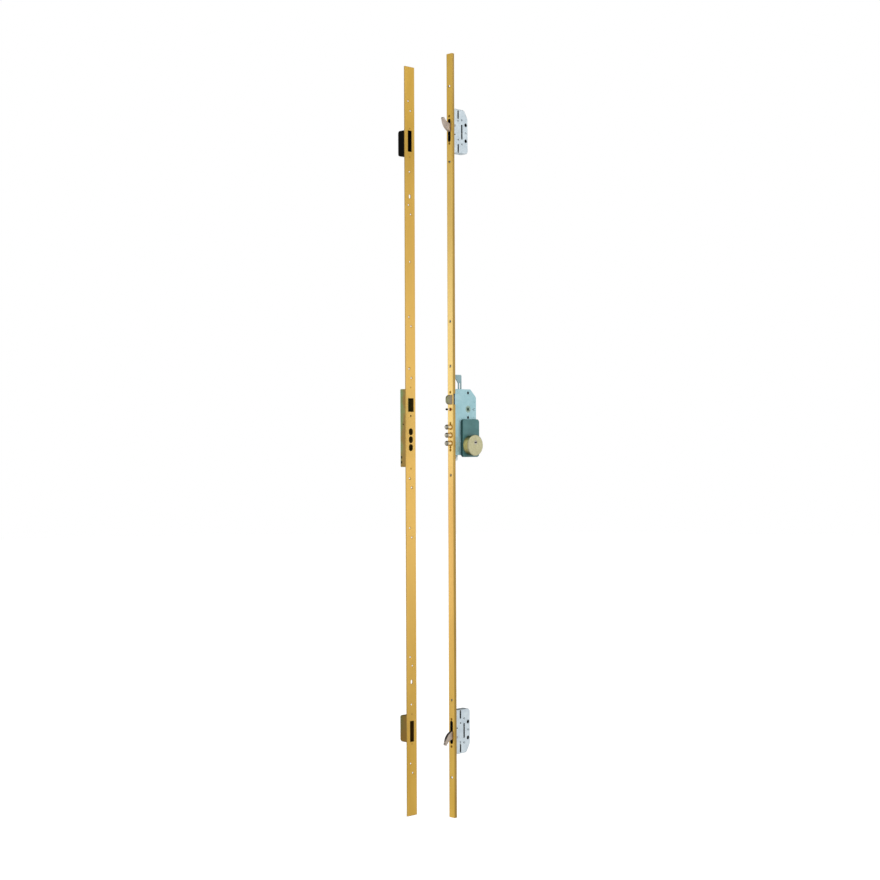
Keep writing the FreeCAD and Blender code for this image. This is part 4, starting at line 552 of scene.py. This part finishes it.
def make_spring(node, axis, fixed_side, wire_mm, turns, materials):
    """A coil in place of a CAD spring, which is rigid. It is fixed to the lock and doesn't shorten."""
    low = [low_side(node, way) for way in range(3)]
    high = [high_side(node, way) for way in range(3)]
    middle = [(low[way] + high[way]) / 2 for way in range(3)]
    first, second = (way for way in range(3) if way != axis)
    wire = wire_mm * MM
    radius = (high[second] - low[second]) / 2 - wire
    start, end = low[axis] + wire, high[axis] - wire
    mesh = bmesh.new()
    rings = []
    steps = turns * STEPS_A_TURN
    for step in range(steps + 1):
        turn = 2 * math.pi * step / STEPS_A_TURN
        ring = []
        for corner in range(WIRE_SIDES):
            around = 2 * math.pi * corner / WIRE_SIDES
            out = radius + wire * math.cos(around)
            point = list(middle)
            point[axis] = start + (end - start) * step / steps + wire * math.sin(around)
            point[first] += out * math.cos(turn)
            point[second] += out * math.sin(turn)
            ring.append(mesh.verts.new(point))
        rings.append(ring)
    skin(mesh, rings)
    mesh.faces.new(rings[0])
    mesh.faces.new(rings[-1])
    bmesh.ops.recalc_face_normals(mesh, faces=mesh.faces)
    for face in mesh.faces:
        face.smooth = True
    spring = make_object(node + "_coil", mesh, materials[SLOT_OF[node]])
    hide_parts(node)
    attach(spring, "lock")
    anchor = list(middle)
    anchor[axis] = fixed_side(node, axis)
    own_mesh(spring)


def make_small_pieces(materials):
    make_spring("latch_spring", 0, high_side, 0.4, 9, materials)
    make_spring("trigger_spring", 0, high_side, 0.45, 8, materials)
    make_spring("follower_spring", 2, low_side, 0.45, 8, materials)
    # Spacer sleeves for the screws that go through the hook cases, in the darker sintered steel,
    # which paints the shade seen through the slots
    for node, heights in SLEEVE_HEIGHTS.items():
        for number, height in enumerate(heights):
            name = node.replace("case_body", "sleeve_%d" % (number + 1))
            tube(name, "lock", materials["sintered_steel"],
                 "y", SLEEVE_ENDS, (SLEEVE_DEPTH, height), SLEEVE_RADII)
    # Bronze bush that guides the trigger through the faceplate, and its collar in front
    tube("trigger_bush", "lock", materials["bronze"],
         "x", BUSH_ENDS, TRIGGER_AXIS, BUSH_RADII)
    tube("trigger_bush_collar", "lock", materials["bronze"],
         "x", COLLAR_ENDS, TRIGGER_AXIS, COLLAR_RADII)


# Floor, light and camera
def seen_or_mirrored(tree, mirrored, seen):
    """One shader for what the metal mirrors and another for the camera."""
    is_seen = add(tree, "ShaderNodeLightPath").outputs["Is Camera Ray"]
    return add(tree, "ShaderNodeMixShader", {0: is_seen, 1: mirrored, 2: seen}).outputs[0]


def floor_material():
    """Plain white for the eye; in the metal it mirrors as grey cloth close behind the lock."""
    material, tree, place = start_material("pale_floor")
    cloth = noise(tree, place, 3.0, 2.0)
    seen = add(tree, "ShaderNodeBsdfPrincipled", {
        "Base Color": ramp(tree, cloth, "f4f4f4", "fafafa"), "Roughness": 0.9,
        "Emission Color": (1.0, 1.0, 1.0, 1.0), "Emission Strength": 0.7}).outputs["BSDF"]
    from_dark = add(tree, "ShaderNodeVectorMath", {0: place, 1: DARK_CLOTH}, operation="DISTANCE")
    grey = mapped(tree, from_dark.outputs["Value"], 0.6, 1.3, 0.05, 0.8,
                  interpolation_type="SMOOTHSTEP")
    mirrored = add(tree, "ShaderNodeEmission", {"Color": grey, "Strength": 1.0}).outputs[0]
    add(tree, "ShaderNodeOutputMaterial", {"Surface": seen_or_mirrored(tree, mirrored, seen)})
    return material


def make_floor():
    mesh = bmesh.new()
    bmesh.ops.create_circle(mesh, cap_ends=True, segments=96, radius=FLOOR_RADIUS)
    bmesh.ops.translate(mesh, verts=mesh.verts, vec=(0.0, 0.0, cad_bounds[0].z - 1 * MM))
    floor = make_object("floor", mesh, floor_material())


def soft_light(name, place, target, size, watts):
    lamp = bpy.data.lights.new(name, "AREA")
    lamp.shape = "RECTANGLE"
    lamp.size, lamp.size_y = size
    lamp.energy = watts
    made = bpy.data.objects.new(name, lamp)
    made.location = place
    made.rotation_euler = (Vector(target) - Vector(place)).to_track_quat("-Z", "Y").to_euler()
    bpy.context.scene.collection.objects.link(made)


def make_light():
    """A white surround for the eye, a darker one in the metal, and four soft lights."""
    world = bpy.data.worlds.new("studio")
    world.use_nodes = True
    tree = world.node_tree
    tree.nodes.clear()
    direction = add(tree, "ShaderNodeTexCoord").outputs["Generated"]
    dark_side = Vector(DARK_SIDE).normalized()
    facing = add(tree, "ShaderNodeVectorMath", {0: direction, 1: dark_side},
                 operation="DOT_PRODUCT").outputs["Value"]
    shade = mapped(tree, facing, 0.3, 0.75, 1.0, 0.12,
                   interpolation_type="SMOOTHSTEP")
    mirrored = add(tree, "ShaderNodeBackground", {"Color": shade, "Strength": WORLD_STRENGTH})
    seen = add(tree, "ShaderNodeBackground", {"Color": (1.0, 1.0, 1.0, 1.0), "Strength": 1.0})
    add(tree, "ShaderNodeOutputWorld", {
        "Surface": seen_or_mirrored(tree, mirrored.outputs[0], seen.outputs[0])})
    bpy.context.scene.world = world
    soft_light("key_light", (0.6, -3.2, 2.2), (0, 0, 0.2), (1.6, 1.6), 14)
    soft_light("card_light", (-1.25, 1.3, -0.05), (0, 0, -0.05), (0.7, 1.4), 1.65)
    soft_light("fill_light", (1.5, -1.56, 0.0), (0, 0, 0), (0.7, 1.0), 1.1)
    soft_light("top_light", (-0.6, -0.8, 3.4), (0, 0, 0), (1.6, 1.6), 6)


def make_camera():
    towards = Vector((math.sin(VIEW_AZIMUTH), math.cos(VIEW_AZIMUTH), 0.0))
    aside = Vector((towards.y, -towards.x, 0.0))
    data = bpy.data.cameras.new("camera")
    data.sensor_width = SENSOR
    data.lens = SENSOR * FOCAL_PIXELS / IMAGE_SIZE
    camera = bpy.data.objects.new("camera", data)
    level = Matrix((aside, Vector((0.0, 0.0, 1.0)), -towards)).transposed().to_4x4()
    place = Vector((0.0, 0.0, VIEW_HEIGHT)) - towards * VIEW_DISTANCE - aside * VIEW_ASIDE
    camera.matrix_world = Matrix.Translation(place) @ level @ Matrix.Rotation(VIEW_ROLL, 4, "Z")
    bpy.context.scene.collection.objects.link(camera)
    bpy.context.scene.camera = camera


materials = make_materials()
dress_cad_nodes(materials)
make_small_pieces(materials)
make_floor()
make_light()
make_camera()
bpy.context.scene.view_settings.view_transform = "Standard"
